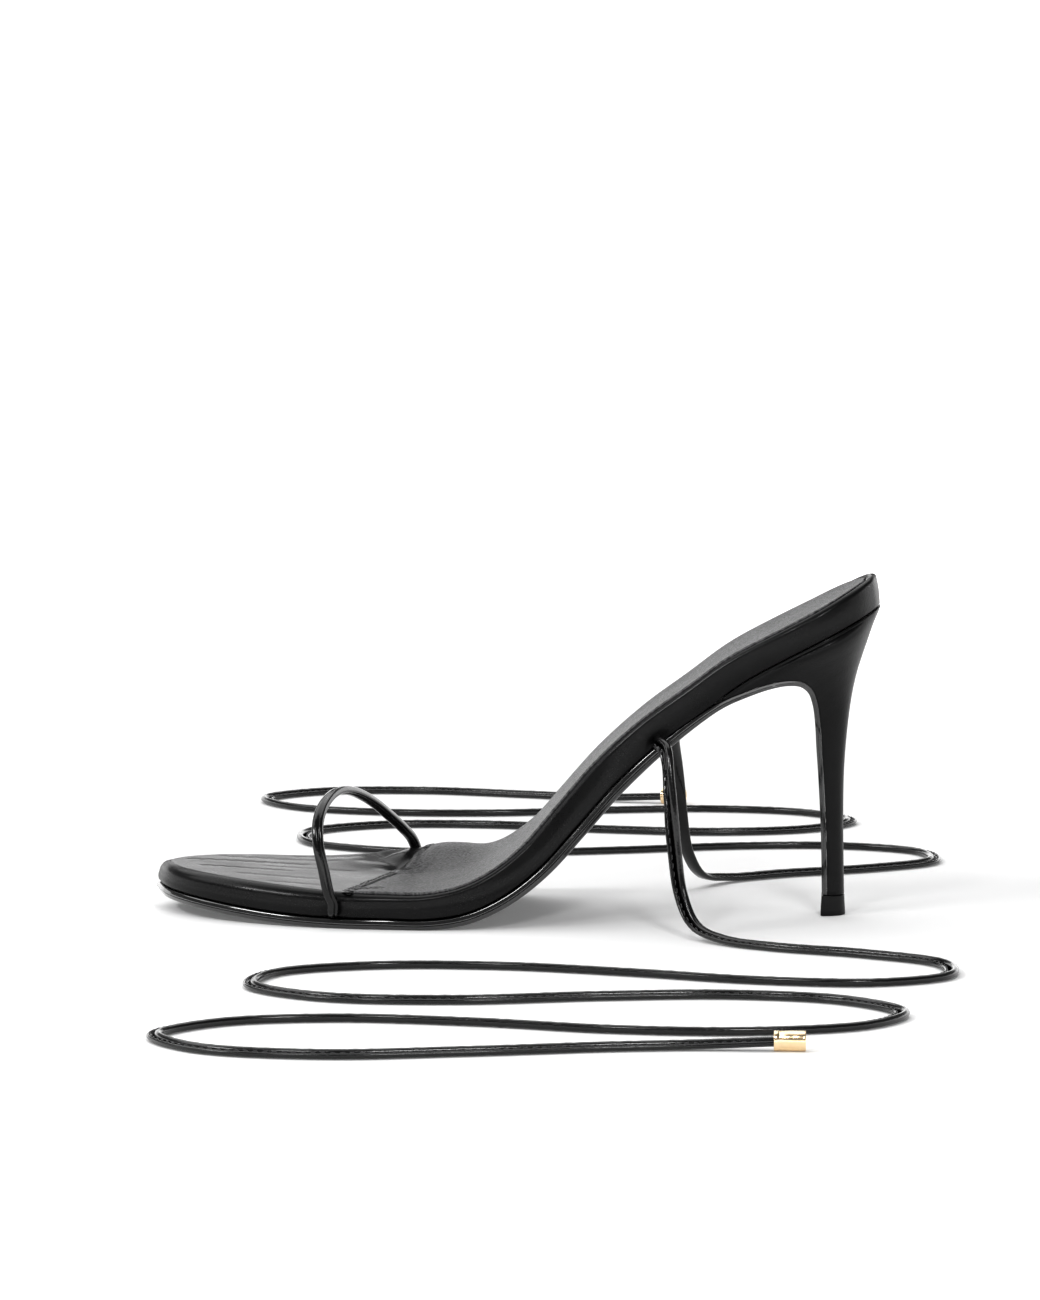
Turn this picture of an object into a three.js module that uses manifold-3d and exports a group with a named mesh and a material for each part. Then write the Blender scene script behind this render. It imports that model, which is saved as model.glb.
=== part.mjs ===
// A lace-up heeled sandal for the left foot: millimetres, +Z up, toe towards -X, outer side towards -Y.
import * as THREE from "three";
import { mergeVertices } from "three/addons/utils/BufferGeometryUtils.js";
import Module from "manifold-3d";

const wasm = await Module();
wasm.setup();

// Driving dimensions
const shoeLength = 210.4; // level distance from the toe tip to the back of the seat
const heelHeight = 90.5; // floor to the seat seam at the back
const toeSpring = 4.6; // lift of the toe tip above the tread
const ballWidth = 76.5; // widest place of the footbed
const seatWidth = 49; // widest place of the seat
const outsoleThickness = 3.3; // under the forefoot
const waistSoleThickness = 3.4; // where it climbs under the waist
const flapThickness = 1.5; // outsole where it covers the heel breast
const beadProud = 0.5; // how far the outsole's bead stands out past the footbed
const footbedThickness = 8.4; // padded footbed at the waist
const archRaise = 4.4; // extra height of the inner edge at the arch
const toeEdgeRadius = 3.4; // soft rounding of the footbed's top edge at the toe
const waistEdgeRadius = 1.6; // the same rounding along waist and seat
const seatDish = 0.8; // hollow of the seat below its edges
const seatUpright = 3; // how far back the footbed's top is set at the seat, which stands its wall up
const sockThickness = 0.9;
const sockMargin = 2.1; // footbed edge that the sock leaves bare
const sockFront = 57; // outer front corner of the sock, measured along the sole from the toe
const sockSlant = 20; // how much further back the sock's inner front corner is
const columnHalf = 4.8; // half width of the heel column at its foot
const heelTipHeight = 6;
const heelTipProud = 0.35; // how far the heel tip stands out past the column
const strapWidth = 3.2;
const strapThickness = 2.3;
const strapRise = 24.6; // top of the toe strap above the footbed
const strapOuter = 55; // outer anchor of the toe strap, measured along the sole from the toe
const strapInner = 73.5; // inner anchor of the toe strap
const strapLean = 6.6; // how far the top of the strap leans forward
const tieWidth = 4.2;
const tieThickness = 2.2;
const tieAlong = 166; // where the ties leave the seam, measured along the sole from the toe
const seatDepth = 4.5; // how far strap and ties reach in under the footbed
const tieTipRadius = 2.6;
const tieTipLength = 8;
const clearance = 0.3; // gap between pieces that touch
const sockGap = 0.43; // the same gap under the sock
const middleAlong = 0.25; // moves the finished shoe so that its box, without the ties, is centred
const middleAcross = -1.2;

// Last profile in the centre plane: the seam between footbed and outsole, from toe to seat.
// along is a share of shoeLength, lift of the rise from tread to seat, spring of toeSpring.
const lastRows = [
  { along: 0.0, lift: 0, spring: 1 },
  { along: 0.06, lift: 0, spring: 0.72 },
  { along: 0.127, lift: 0, spring: 0.39 },
  { along: 0.195, lift: 0, spring: 0.13 },
  { along: 0.262, lift: 0, spring: 0 },
  { along: 0.329, lift: 0, spring: 0 },
  { along: 0.391, lift: 0, spring: 0 },
  { along: 0.444, lift: 0.022, spring: 0 },
  { along: 0.493, lift: 0.077, spring: 0 },
  { along: 0.541, lift: 0.166, spring: 0 },
  { along: 0.589, lift: 0.291, spring: 0 },
  { along: 0.642, lift: 0.433, spring: 0 },
  { along: 0.7, lift: 0.56, spring: 0 },
  { along: 0.757, lift: 0.662, spring: 0 },
  { along: 0.815, lift: 0.766, spring: 0 },
  { along: 0.875, lift: 0.847, spring: 0 },
  { along: 0.936, lift: 0.921, spring: 0 },
  { along: 1.0, lift: 1, spring: 0 },
];
const lastRowsBeforeHeel = 14; // the outsole leaves the footbed after this many rows
const waistStartRow = 7; // the outsole grows thicker from this row
const waistFullRow = 10; // to this one

// Outline of the footbed laid flat: along is a share of the seam's length, outer and inner are
// shares of half the ballWidth before seatFrom and of half the seatWidth after it.
const outlineRows = [
  { along: 0.0, outer: -0.11, inner: 0.17 },
  { along: 0.014, outer: 0.16, inner: 0.37 },
  { along: 0.037, outer: 0.37, inner: 0.53 },
  { along: 0.07, outer: 0.55, inner: 0.68 },
  { along: 0.118, outer: 0.72, inner: 0.81 },
  { along: 0.178, outer: 0.86, inner: 0.91 },
  { along: 0.245, outer: 0.95, inner: 0.98 },
  { along: 0.31, outer: 0.99, inner: 1.0 },
  { along: 0.375, outer: 0.985, inner: 0.96 },
  { along: 0.44, outer: 0.92, inner: 0.86 },
  { along: 0.507, outer: 0.82, inner: 0.73 },
  { along: 0.574, outer: 0.71, inner: 0.61 },
  { along: 0.64, outer: 0.96, inner: 0.86 },
  { along: 0.707, outer: 0.92, inner: 0.86 },
  { along: 0.77, outer: 0.94, inner: 0.92 },
  { along: 0.83, outer: 0.98, inner: 0.98 },
  { along: 0.885, outer: 1.0, inner: 1.0 },
  { along: 0.935, outer: 0.91, inner: 0.91 },
  { along: 0.972, outer: 0.68, inner: 0.68 },
  { along: 0.993, outer: 0.36, inner: 0.36 },
  { along: 1.0, outer: 0.08, inner: 0.08 },
];
const seatFrom = 0.6;
const uprightFrom = 0.87; // share of the seam's length where the wall begins to stand up

// Footbed along its length: wall is a share of footbedThickness, raise of archRaise, dish of
// seatDish, and soft is 1 where the top edge has the toe's rounding and 0 where it has the waist's.
const footbedRows = [
  { along: 0.0, wall: 0.72, raise: 0, dish: 0, soft: 0.85 },
  { along: 0.1, wall: 0.87, raise: 0, dish: 0, soft: 1 },
  { along: 0.19, wall: 0.9, raise: 0.08, dish: 0, soft: 1 },
  { along: 0.25, wall: 0.84, raise: 0.4, dish: 0, soft: 0.7 },
  { along: 0.3, wall: 0.8, raise: 0.75, dish: 0, soft: 0.3 },
  { along: 0.34, wall: 0.82, raise: 1, dish: 0.2, soft: 0.1 },
  { along: 0.38, wall: 0.86, raise: 0.75, dish: 0.3, soft: 0 },
  { along: 0.42, wall: 0.87, raise: 0.2, dish: 0.5, soft: 0 },
  { along: 0.48, wall: 0.88, raise: 0, dish: 0.6, soft: 0 },
  { along: 0.58, wall: 0.94, raise: 0, dish: 0.6, soft: 0 },
  { along: 0.7, wall: 0.96, raise: 0, dish: 0.8, soft: 0 },
  { along: 0.8, wall: 0.94, raise: 0, dish: 1, soft: 0 },
  { along: 0.92, wall: 0.93, raise: 0, dish: 1, soft: 0.1 },
  { along: 1.0, wall: 1.06, raise: 0, dish: 1, soft: 0.1 },
];

// Heel sections from the tongue under the waist down to the foot of the column. Each runs from the
// breast line at the front to the back line: along is a share of shoeLength, lift of heelHeight,
// half of half the seatWidth, and seat is 1 where the section has the footbed's outline.
const heelRows = [
  { frontAlong: 0.785, frontLift: 0.713, backAlong: 0.999, backLift: 0.985, half: 0.9, seat: 1 },
  { frontAlong: 0.816, frontLift: 0.743, backAlong: 0.996, backLift: 0.968, half: 0.915, seat: 0.97 },
  { frontAlong: 0.849, frontLift: 0.768, backAlong: 0.992, backLift: 0.945, half: 0.9, seat: 0.88 },
  { frontAlong: 0.8745, frontLift: 0.777, backAlong: 0.988, backLift: 0.919, half: 0.84, seat: 0.72 },
  { frontAlong: 0.8945, frontLift: 0.77, backAlong: 0.983, backLift: 0.884, half: 0.74, seat: 0.5 },
  { frontAlong: 0.9085, frontLift: 0.741, backAlong: 0.977, backLift: 0.842, half: 0.61, seat: 0.3 },
  { frontAlong: 0.9158, frontLift: 0.692, backAlong: 0.9695, backLift: 0.785, half: 0.48, seat: 0.12 },
  { frontAlong: 0.9192, frontLift: 0.632, backAlong: 0.9625, backLift: 0.708, half: 0.375, seat: 0 },
  { frontAlong: 0.9215, frontLift: 0.544, backAlong: 0.9566, backLift: 0.6, half: 0.295, seat: 0 },
  { frontAlong: 0.9246, frontLift: 0.44, backAlong: 0.9525, backLift: 0.467, half: 0.245, seat: 0 },
  { frontAlong: 0.9278, frontLift: 0.297, backAlong: 0.9518, backLift: 0.308, half: 0.215, seat: 0 },
  { frontAlong: 0.9295, frontLift: 0.154, backAlong: 0.9528, backLift: 0.156, half: 0.2, seat: 0 },
];
const columnRow = { frontAlong: 0.93, backAlong: 0.9536, seat: 0 };

// Side of the outsole from its tread up: depth is a share of its thickness below the seam, out is a
// share of beadProud, and negative out lies inside the footbed's outline.
const outsoleSteps = [
  { depth: 1.0, out: -2.6 },
  { depth: 0.86, out: -1.1 },
  { depth: 0.47, out: -0.3 },
  { depth: 0.41, out: -0.9 },
  { depth: 0.35, out: 0.6 },
  { depth: 0.23, out: 1.0 },
  { depth: 0.12, out: 0.6 },
  { depth: 0.0, out: -0.6 },
];

// Toe strap between its two anchors: across is a share of the way over, rise of strapRise above the
// footbed, lean of strapLean forward of the straight line between the anchors.
const strapRows = [
  { across: -0.012, rise: -0.05, lean: 0.12 },
  { across: -0.012, rise: 0.25, lean: 0.36 },
  { across: 0.0, rise: 0.5, lean: 0.61 },
  { across: 0.035, rise: 0.72, lean: 0.78 },
  { across: 0.1, rise: 0.87, lean: 0.88 },
  { across: 0.2, rise: 0.965, lean: 0.94 },
  { across: 0.32, rise: 0.99, lean: 0.97 },
  { across: 0.45, rise: 0.93, lean: 0.935 },
  { across: 0.58, rise: 0.805, lean: 0.85 },
  { across: 0.7, rise: 0.645, lean: 0.72 },
  { across: 0.81, rise: 0.45, lean: 0.53 },
  { across: 0.91, rise: 0.255, lean: 0.32 },
  { across: 0.985, rise: 0.07, lean: 0.14 },
  { across: 1.012, rise: -0.12, lean: 0.03 },
];

// Routes of the two ties once they have left the seam, as they fall and lie on the floor.
const outerTieRoute = [
  [44, -30.5, 51.5],
  [45.5, -36.5, 40],
  [47, -40.5, 25],
  [49, -44, 12],
  [53, -50, 4.2],
  [61, -59, 1.7],
  [76, -69, 1.3],
  [100, -79, 1.3],
  [121, -94, 1.3],
  [122, -114, 1.3],
  [103, -126, 1.3],
  [72, -124, 1.3],
  [38, -113, 1.3],
  [2, -104, 1.3],
  [-34, -105, 1.3],
  [-59, -118, 1.3],
  [-63, -140, 1.3],
  [-43, -157, 1.3],
  [-8, -160, 1.3],
  [30, -152, 1.3],
  [64, -148, 1.3],
  [94, -155, 1.3],
  [109, -173, 1.3],
  [99, -192, 1.3],
  [70, -202, 1.3],
  [36, -201, 1.3],
  [0, -192, 1.3],
  [-37, -188, 1.3],
  [-66, -196, 1.3],
  [-80, -215, 1.3],
  [-67, -234, 1.3],
  [-36, -241, 1.3],
  [0, -235, 1.3],
  [34, -227, 1.3],
  [56, -224, 1.5],
  [76, -224, 2.4],
];
const innerTieRoute = [
  [44, 29.5, 51.5],
  [45.5, 35.5, 40],
  [47, 39.5, 25],
  [49, 43.5, 12],
  [53, 50, 4.2],
  [61, 60, 1.7],
  [78, 72, 1.3],
  [104, 84, 1.3],
  [123, 100, 1.3],
  [120, 121, 1.3],
  [96, 133, 1.3],
  [62, 131, 1.3],
  [26, 120, 1.3],
  [-12, 112, 1.3],
  [-48, 116, 1.3],
  [-72, 132, 1.3],
  [-74, 156, 1.3],
  [-52, 173, 1.3],
  [-18, 175, 1.3],
  [20, 166, 1.3],
  [56, 162, 1.3],
  [86, 171, 1.3],
  [99, 191, 1.3],
  [85, 210, 1.3],
  [54, 218, 1.3],
  [18, 213, 1.3],
  [-18, 204, 1.3],
  [-54, 204, 1.3],
  [-84, 215, 1.3],
  [-96, 236, 1.3],
  [-79, 254, 1.3],
  [-45, 258, 1.3],
  [-10, 250, 1.3],
  [16, 242, 1.5],
  [36, 238, 2.4],
];

// Fineness of the faceted solids
const stations = 44; // along the footbed and outsole
const lanes = 4; // across them
const sockStations = 36;
const heelStations = 9;
const strapSteps = 44;
const tieSteps = 104;
const strapSides = 12;
const tieSides = 8;
const notchSides = 8;
const smallestDetail = 0.03; // cut surfaces are tidied to this

const toeX = -shoeLength / 2;
const treadLevel = outsoleThickness - clearance / 3; // the tread dips by a third of the gap, then lies flat
const seatHalf = seatWidth / 2;
const ballHalf = ballWidth / 2;
const tieSectionLift = tieThickness / 2;

function mix(a, b, share) {
  return a + (b - a) * share;
}

function ease(value) {
  const share = Math.min(Math.max(value, 0), 1);
  return share * share * (3 - 2 * share);
}

// One column of a table of rows, smoothly between the rows.
function tableValue(rows, column, along) {
  const last = rows.length - 1;
  let row = 0;
  while (row < last - 1 && rows[row + 1].along < along) row++;
  const share = ease((along - rows[row].along) / (rows[row + 1].along - rows[row].along));
  return mix(rows[row][column], rows[row + 1][column], share);
}

// A curve in the centre plane that knows its own length, with x level and y upright.
class SideCurve {
  constructor(points) {
    this.rowCount = points.length;
    const upright = points.map((point) => new THREE.Vector3(point.x, point.y, 0));
    this.spline = new THREE.CatmullRomCurve3(upright, false, "centripetal");
    this.steps = 40 * (this.rowCount - 1);
    this.spline.arcLengthDivisions = this.steps;
    this.lengths = this.spline.getLengths(this.steps);
    this.length = this.lengths[this.steps];
  }
  lengthAtRow(row) {
    return this.lengths[Math.round((this.steps * row) / (this.rowCount - 1))];
  }
  at(distance) {
    const share = Math.min(Math.max(distance / this.length, 0), 1);
    const point = this.spline.getPointAt(share);
    const tangent = this.spline.getTangentAt(share);
    return { point, tangent, beyond: distance - share * this.length };
  }
}

const lastPoints = lastRows.map(
  (row) =>
    new THREE.Vector2(
      toeX + row.along * shoeLength,
      treadLevel + row.spring * toeSpring + row.lift * (heelHeight - treadLevel),
    ),
);
const lastCurve = new SideCurve(lastPoints);

const heelSections = heelRows
  .map((row) => ({
    front: new THREE.Vector2(toeX + row.frontAlong * shoeLength, row.frontLift * heelHeight),
    back: new THREE.Vector2(toeX + row.backAlong * shoeLength, row.backLift * heelHeight),
    half: row.half * seatHalf,
    seat: row.seat,
  }))
  .concat({
    front: new THREE.Vector2(toeX + columnRow.frontAlong * shoeLength, heelTipHeight + clearance),
    back: new THREE.Vector2(toeX + columnRow.backAlong * shoeLength, heelTipHeight + clearance),
    half: columnHalf,
    seat: columnRow.seat,
  });

const soleCurve = new SideCurve(
  lastPoints.slice(0, lastRowsBeforeHeel).concat(heelSections.map((section) => section.front)),
);

// A point that is given flat, along the curve and across the shoe, set at a level above the curve.
function bend(curve, flat, level) {
  const { point, tangent, beyond } = curve.at(flat.along);
  return new THREE.Vector3(
    point.x + tangent.x * beyond - tangent.y * level,
    flat.across,
    point.y + tangent.y * beyond + tangent.x * level,
  );
}

const outline = outlineRows.map((row) => {
  const half = row.along < seatFrom ? ballHalf : seatHalf;
  return { along: row.along * lastCurve.length, outer: -row.outer * half, inner: row.inner * half };
});

// Even samples of one side of an outline whose rows have along, outer and inner.
function sideOf(rows, side, count, from = 0) {
  const curve = new THREE.SplineCurve(rows.map((row) => new THREE.Vector2(row.along, row[side])));
  const points = [];
  for (let i = 0; i <= count; i++) {
    const point = curve.getPoint(mix(from, 1, i / count));
    points.push({ along: point.x, across: point.y });
  }
  return points;
}

// Half width of the footbed on one side, at a distance along the sole.
const outlineSides = { outer: sideOf(outline, "outer", 200), inner: sideOf(outline, "inner", 200) };
function halfWidth(side, along) {
  const points = outlineSides[side];
  let i = 0;
  while (i < points.length - 2 && points[i + 1].along < along) i++;
  const share = (along - points[i].along) / (points[i + 1].along - points[i].along);
  return Math.abs(mix(points[i].across, points[i + 1].across, Math.min(Math.max(share, 0), 1)));
}

// A closed flat ring: outer side from front to back, back edge, inner side forward, front edge.
function flatRing(outer, inner) {
  const last = outer.length - 1;
  const edge = (a, b) =>
    Array.from({ length: lanes - 1 }, (_, k) => ({
      along: mix(a.along, b.along, (k + 1) / lanes),
      across: mix(a.across, b.across, (k + 1) / lanes),
    }));
  return [
    ...outer,
    ...edge(outer[last], inner[last]),
    ...inner.slice().reverse(),
    ...edge(inner[0], outer[0]),
  ];
}

// The ring moved inwards by a distance that may change from point to point.
function inset(ring, distanceAt) {
  const count = ring.length;
  return ring.map((point, i) => {
    const before = ring[(i + count - 1) % count];
    const after = ring[(i + 1) % count];
    const entering = new THREE.Vector2(point.along - before.along, point.across - before.across);
    const leaving = new THREE.Vector2(after.along - point.along, after.across - point.across);
    const normal = entering.normalize().add(leaving.normalize());
    const miter = 2 / normal.length();
    normal.normalize();
    const distance = distanceAt(point) * Math.min(miter, 1.4);
    return {
      along: point.along - normal.y * distance,
      across: point.across + normal.x * distance,
    };
  });
}

// A closed solid from rings of one layout, lowest first. innerPoint(cap, i, k) gives the points
// inside the two caps, where cap is 0 below and 1 above.
function stack(rings, sideCount, innerPoint) {
  const size = rings[0].length;
  const points = rings.flat();
  const faces = [];
  for (let r = 0; r + 1 < rings.length; r++)
    for (let j = 0; j < size; j++) {
      const a = r * size + j;
      const b = r * size + ((j + 1) % size);
      faces.push([a, b, b + size], [a, b + size, a + size]);
    }
  for (const cap of [0, 1]) {
    const base = cap * (rings.length - 1) * size;
    const grid = [];
    for (let i = 0; i <= sideCount; i++) {
      grid.push([]);
      for (let k = 0; k <= lanes; k++) {
        let index = points.length;
        if (k === 0) index = base + i;
        else if (k === lanes) index = base + sideCount + lanes + (sideCount - i);
        else if (i === 0) index = base + size - k;
        else if (i === sideCount) index = base + sideCount + k;
        else points.push(innerPoint(cap, i, k));
        grid[i].push(index);
      }
    }
    for (let i = 0; i < sideCount; i++)
      for (let k = 0; k < lanes; k++) {
        const [a, b, c, d] = [grid[i][k], grid[i + 1][k], grid[i + 1][k + 1], grid[i][k + 1]];
        if (cap) faces.push([a, b, c], [a, c, d]);
        else faces.push([a, c, b], [a, d, c]);
      }
  }
  const geometry = new THREE.BufferGeometry();
  const numbers = points.flatMap((point) => [point.x, point.y, point.z]);
  geometry.setAttribute("position", new THREE.Float32BufferAttribute(numbers, 3));
  geometry.setIndex(faces.flat());
  return geometry;
}

// A layer that lies along a curve: its flat rings and the level of each, lowest first. shift moves
// its flat places along the curve by their level.
function layer(curve, sideCount, rings, levels, { place = (point) => point, shift = () => 0 } = {}) {
  const set = (flat, level) => {
    const moved = { along: flat.along + shift(flat, level), across: flat.across };
    return place(bend(curve, moved, level));
  };
  const setRing = (ring, level) => ring.map((flat) => set(flat, level(flat)));
  const innerPoint = (cap, i, k) => {
    const ring = cap ? rings[rings.length - 1] : rings[0];
    const level = cap ? levels[levels.length - 1] : levels[0];
    const outer = ring[i];
    const inner = ring[sideCount + lanes + (sideCount - i)];
    const flat = {
      along: mix(outer.along, inner.along, k / lanes),
      across: mix(outer.across, inner.across, k / lanes),
    };
    return set(flat, level(flat));
  };
  return stack(
    rings.map((ring, r) => setRing(ring, levels[r])),
    sideCount,
    innerPoint,
  );
}

// Footbed top above the seam, at a flat place.
function footbedTop(flat) {
  const along = flat.along / lastCurve.length;
  const side = flat.across < 0 ? "outer" : "inner";
  const toEdge = Math.min(Math.abs(flat.across) / Math.max(halfWidth(side, flat.along), 1), 1);
  const raised = side === "inner" ? ease((toEdge - 0.1) / 0.8) : 0;
  return (
    footbedThickness * tableValue(footbedRows, "wall", along) +
    archRaise * tableValue(footbedRows, "raise", along) * raised +
    seatDish * tableValue(footbedRows, "dish", along) * (toEdge * toEdge - 1)
  );
}

// How far back a place of the footbed or sock is set, so that the wall behind the seat stands up.
function backShift(flat, level) {
  const share = ease((flat.along / lastCurve.length - uprightFrom) / (1 - uprightFrom));
  return (seatUpright * share * level) / footbedThickness;
}

function edgeRadius(flat) {
  const soft = tableValue(footbedRows, "soft", flat.along / lastCurve.length);
  return mix(waistEdgeRadius, toeEdgeRadius, soft);
}

function footbedGeometry() {
  const outer = sideOf(outline, "outer", stations);
  const inner = sideOf(outline, "inner", stations);
  const ring = flatRing(outer, inner);
  const corner = (turn) => ({
    ring: inset(ring, (flat) => edgeRadius(flat) * (1 - Math.cos(turn))),
    level: (flat) => footbedTop(flat) - edgeRadius(flat) * (1 - Math.sin(turn)),
  });
  const corners = [0, Math.PI / 6, Math.PI / 3, Math.PI / 2].map(corner);
  const foot = waistEdgeRadius / 3;
  return layer(
    lastCurve,
    stations,
    [inset(ring, () => foot * 2), inset(ring, () => 0), ...corners.map((c) => c.ring)],
    [() => 0, () => foot, ...corners.map((c) => c.level)],
    { shift: backShift },
  );
}

function sockGeometry() {
  const backShare = (along) => {
    const points = outlineSides.outer;
    return points.findIndex((point) => point.along > along) / points.length;
  };
  const outer = sideOf(outline, "outer", sockStations, backShare(sockFront));
  const inner = sideOf(outline, "inner", sockStations, backShare(sockFront + sockSlant));
  const ring = inset(flatRing(outer, inner), () => sockMargin);
  const top = (flat) => footbedTop(flat) + sockGap + sockThickness;
  const soften = sockThickness / 2;
  return layer(
    lastCurve,
    sockStations,
    [ring, ring, inset(ring, () => soften)],
    [(flat) => footbedTop(flat) + sockGap, (flat) => top(flat) - soften, top],
    { shift: backShift },
  );
}

// The outsole follows the footbed, then the tongue and the breast of the heel down to the heel tip.
function outsoleGeometry() {
  const leaving = soleCurve.lengthAtRow(lastRowsBeforeHeel);
  const flapRows = heelSections.map((section, i) => ({
    along: soleCurve.lengthAtRow(lastRowsBeforeHeel + i),
    outer: -section.half,
    inner: section.half,
  }));
  const soleRows = outline.filter((row) => row.along < leaving - seatDepth).concat(flapRows);
  const ring = flatRing(
    sideOf(soleRows, "outer", stations),
    sideOf(soleRows, "inner", stations),
  );
  const breast = soleCurve.lengthAtRow(lastRowsBeforeHeel + 3);
  const waistStart = soleCurve.lengthAtRow(waistStartRow);
  const waistFull = soleCurve.lengthAtRow(waistFullRow);
  const thinning = soleCurve.lengthAtRow(lastRowsBeforeHeel - 3);
  const flapShare = (flat) => ease((flat.along - thinning) / (breast - thinning));
  const climb = (flat) => ease((flat.along - waistStart) / (waistFull - waistStart));
  const thickness = (flat) => {
    const plate = mix(outsoleThickness, waistSoleThickness, climb(flat));
    return mix(plate, flapThickness + clearance, flapShare(flat));
  };
  const level = (step) => (flat) =>
    -clearance - step.depth * (thickness(flat) - clearance);
  const offset = (step) => (flat) => -step.out * beadProud * (1 - 0.9 * flapShare(flat));
  const onFloor = (point) => point.setZ(Math.max(point.z, 0));
  return layer(
    soleCurve,
    stations,
    outsoleSteps.map((step) => inset(ring, offset(step))),
    outsoleSteps.map(level),
    { place: onFloor },
  );
}

// One heel section: outer side from front to back, back edge, inner side forward, front edge.
function heelRing(section, front, tongueAlong) {
  const seamFront = bend(lastCurve, { along: tongueAlong, across: 0 }, -clearance);
  const seamBack = bend(lastCurve, { along: lastCurve.length, across: 0 }, -clearance);
  const frontHalf = halfWidth("outer", tongueAlong);
  const side = [];
  for (let i = 0; i <= heelStations; i++) {
    const turn = (i / heelStations) * Math.PI * 0.47;
    const share = Math.sin(turn) / Math.sin(Math.PI * 0.47);
    const along = mix(tongueAlong, lastCurve.length, share);
    const seam = bend(lastCurve, { along, across: 0 }, -clearance);
    const chord = seamFront.clone().lerp(seamBack, share);
    const round = section.half * Math.cos(turn) ** 0.85;
    const seatLike = (halfWidth("outer", along) * section.half) / frontHalf;
    side.push({
      x: mix(front.x, section.back.x, share) + section.seat * (seam.x - chord.x),
      z: mix(front.y, section.back.y, share) + section.seat * (seam.z - chord.z),
      half: mix(round, seatLike, section.seat),
    });
  }
  const lane = (row, k) => new THREE.Vector3(row.x, mix(-row.half, row.half, k / lanes), row.z);
  const between = Array.from({ length: lanes - 1 }, (_, k) => k + 1);
  return [
    ...side.map((row) => lane(row, 0)),
    ...between.map((k) => lane(side[heelStations], k)),
    ...side.map((row) => lane(row, lanes)).reverse(),
    ...between.reverse().map((k) => lane(side[0], k)),
  ];
}

function ringMiddle(ring, sideCount, i, k) {
  return ring[i].clone().lerp(ring[sideCount + lanes + (sideCount - i)], k / lanes);
}

function heelGeometry() {
  const tongueX = heelSections[0].front.x;
  let tongueAlong = lastCurve.length / 2;
  while (lastCurve.at(tongueAlong).point.x < tongueX) tongueAlong += clearance;
  const seatFront = bend(lastCurve, { along: tongueAlong, across: 0 }, -clearance);
  const seatBack = bend(lastCurve, { along: lastCurve.length, across: 0 }, -clearance);
  const seatSection = {
    back: new THREE.Vector2(seatBack.x, seatBack.z),
    half: halfWidth("outer", tongueAlong),
    seat: 1,
  };
  const rings = heelSections.map((section) => heelRing(section, section.front, tongueAlong));
  rings.unshift(heelRing(seatSection, new THREE.Vector2(seatFront.x, seatFront.z), tongueAlong));
  rings.reverse();
  return stack(rings, heelStations, (cap, i, k) =>
    ringMiddle(cap ? rings[rings.length - 1] : rings[0], heelStations, i, k),
  );
}

function heelTipGeometry() {
  const column = heelSections[heelSections.length - 1];
  const breastFace = column.front.x - flapThickness;
  const section = (height, proud) => {
    const outlineRow = {
      back: new THREE.Vector2(column.back.x + proud, height),
      half: columnHalf + proud,
      seat: 0,
    };
    return heelRing(outlineRow, new THREE.Vector2(breastFace - proud, height), 0);
  };
  const soft = heelTipProud;
  const rings = [
    section(0, 0),
    section(soft, heelTipProud),
    section(heelTipHeight - soft, heelTipProud / 2),
    section(heelTipHeight, 0),
  ];
  return stack(rings, heelStations, (cap, i, k) =>
    ringMiddle(cap ? rings[rings.length - 1] : rings[0], heelStations, i, k),
  );
}

// A route that holds the section's thickness along a wanted direction at each share of its length.
// fineStart shortens its first steps, for the tight bend where a tie leaves the seam.
class GuidedRoute extends THREE.CatmullRomCurve3 {
  constructor(points, faceAt, fineStart = 0) {
    super(points, false, "centripetal");
    this.faceAt = faceAt;
    this.fineStart = fineStart;
  }
  getUtoTmapping(share, distance) {
    const shortened = share * (1 - this.fineStart * Math.exp(-12 * share));
    return super.getUtoTmapping(shortened, distance);
  }
  computeFrenetFrames(segments) {
    const frames = { tangents: [], normals: [], binormals: [] };
    for (let i = 0; i <= segments; i++) {
      const tangent = this.getTangentAt(i / segments).normalize();
      const binormal = new THREE.Vector3().crossVectors(tangent, this.faceAt(i / segments, tangent));
      binormal.normalize();
      frames.tangents.push(tangent);
      frames.binormals.push(binormal);
      frames.normals.push(new THREE.Vector3().crossVectors(binormal, tangent));
    }
    return frames;
  }
}

// A soft flat section: thickness along x and width along y.
function bandSection(width, thickness, sides) {
  const points = [];
  for (let i = 0; i < sides; i++) {
    const turn = ((i + 0.5) / sides) * Math.PI * 2;
    const round = (value) => Math.sign(value) * Math.abs(value) ** 0.7;
    points.push(
      new THREE.Vector2((round(Math.cos(turn)) * thickness) / 2, (round(Math.sin(turn)) * width) / 2),
    );
  }
  return new THREE.Shape(points);
}

function band(route, width, thickness, sides, steps) {
  return new THREE.ExtrudeGeometry(bandSection(width, thickness, sides), {
    steps,
    extrudePath: route,
    curveSegments: 1,
  });
}

// A point beside the footbed's edge: out is how far it stands off the wall, negative under it.
function besideEdge(side, along, out, level) {
  const away = side === "outer" ? -1 : 1;
  const flat = { along, across: away * (halfWidth(side, along) + out) };
  return bend(lastCurve, flat, level);
}

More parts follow.
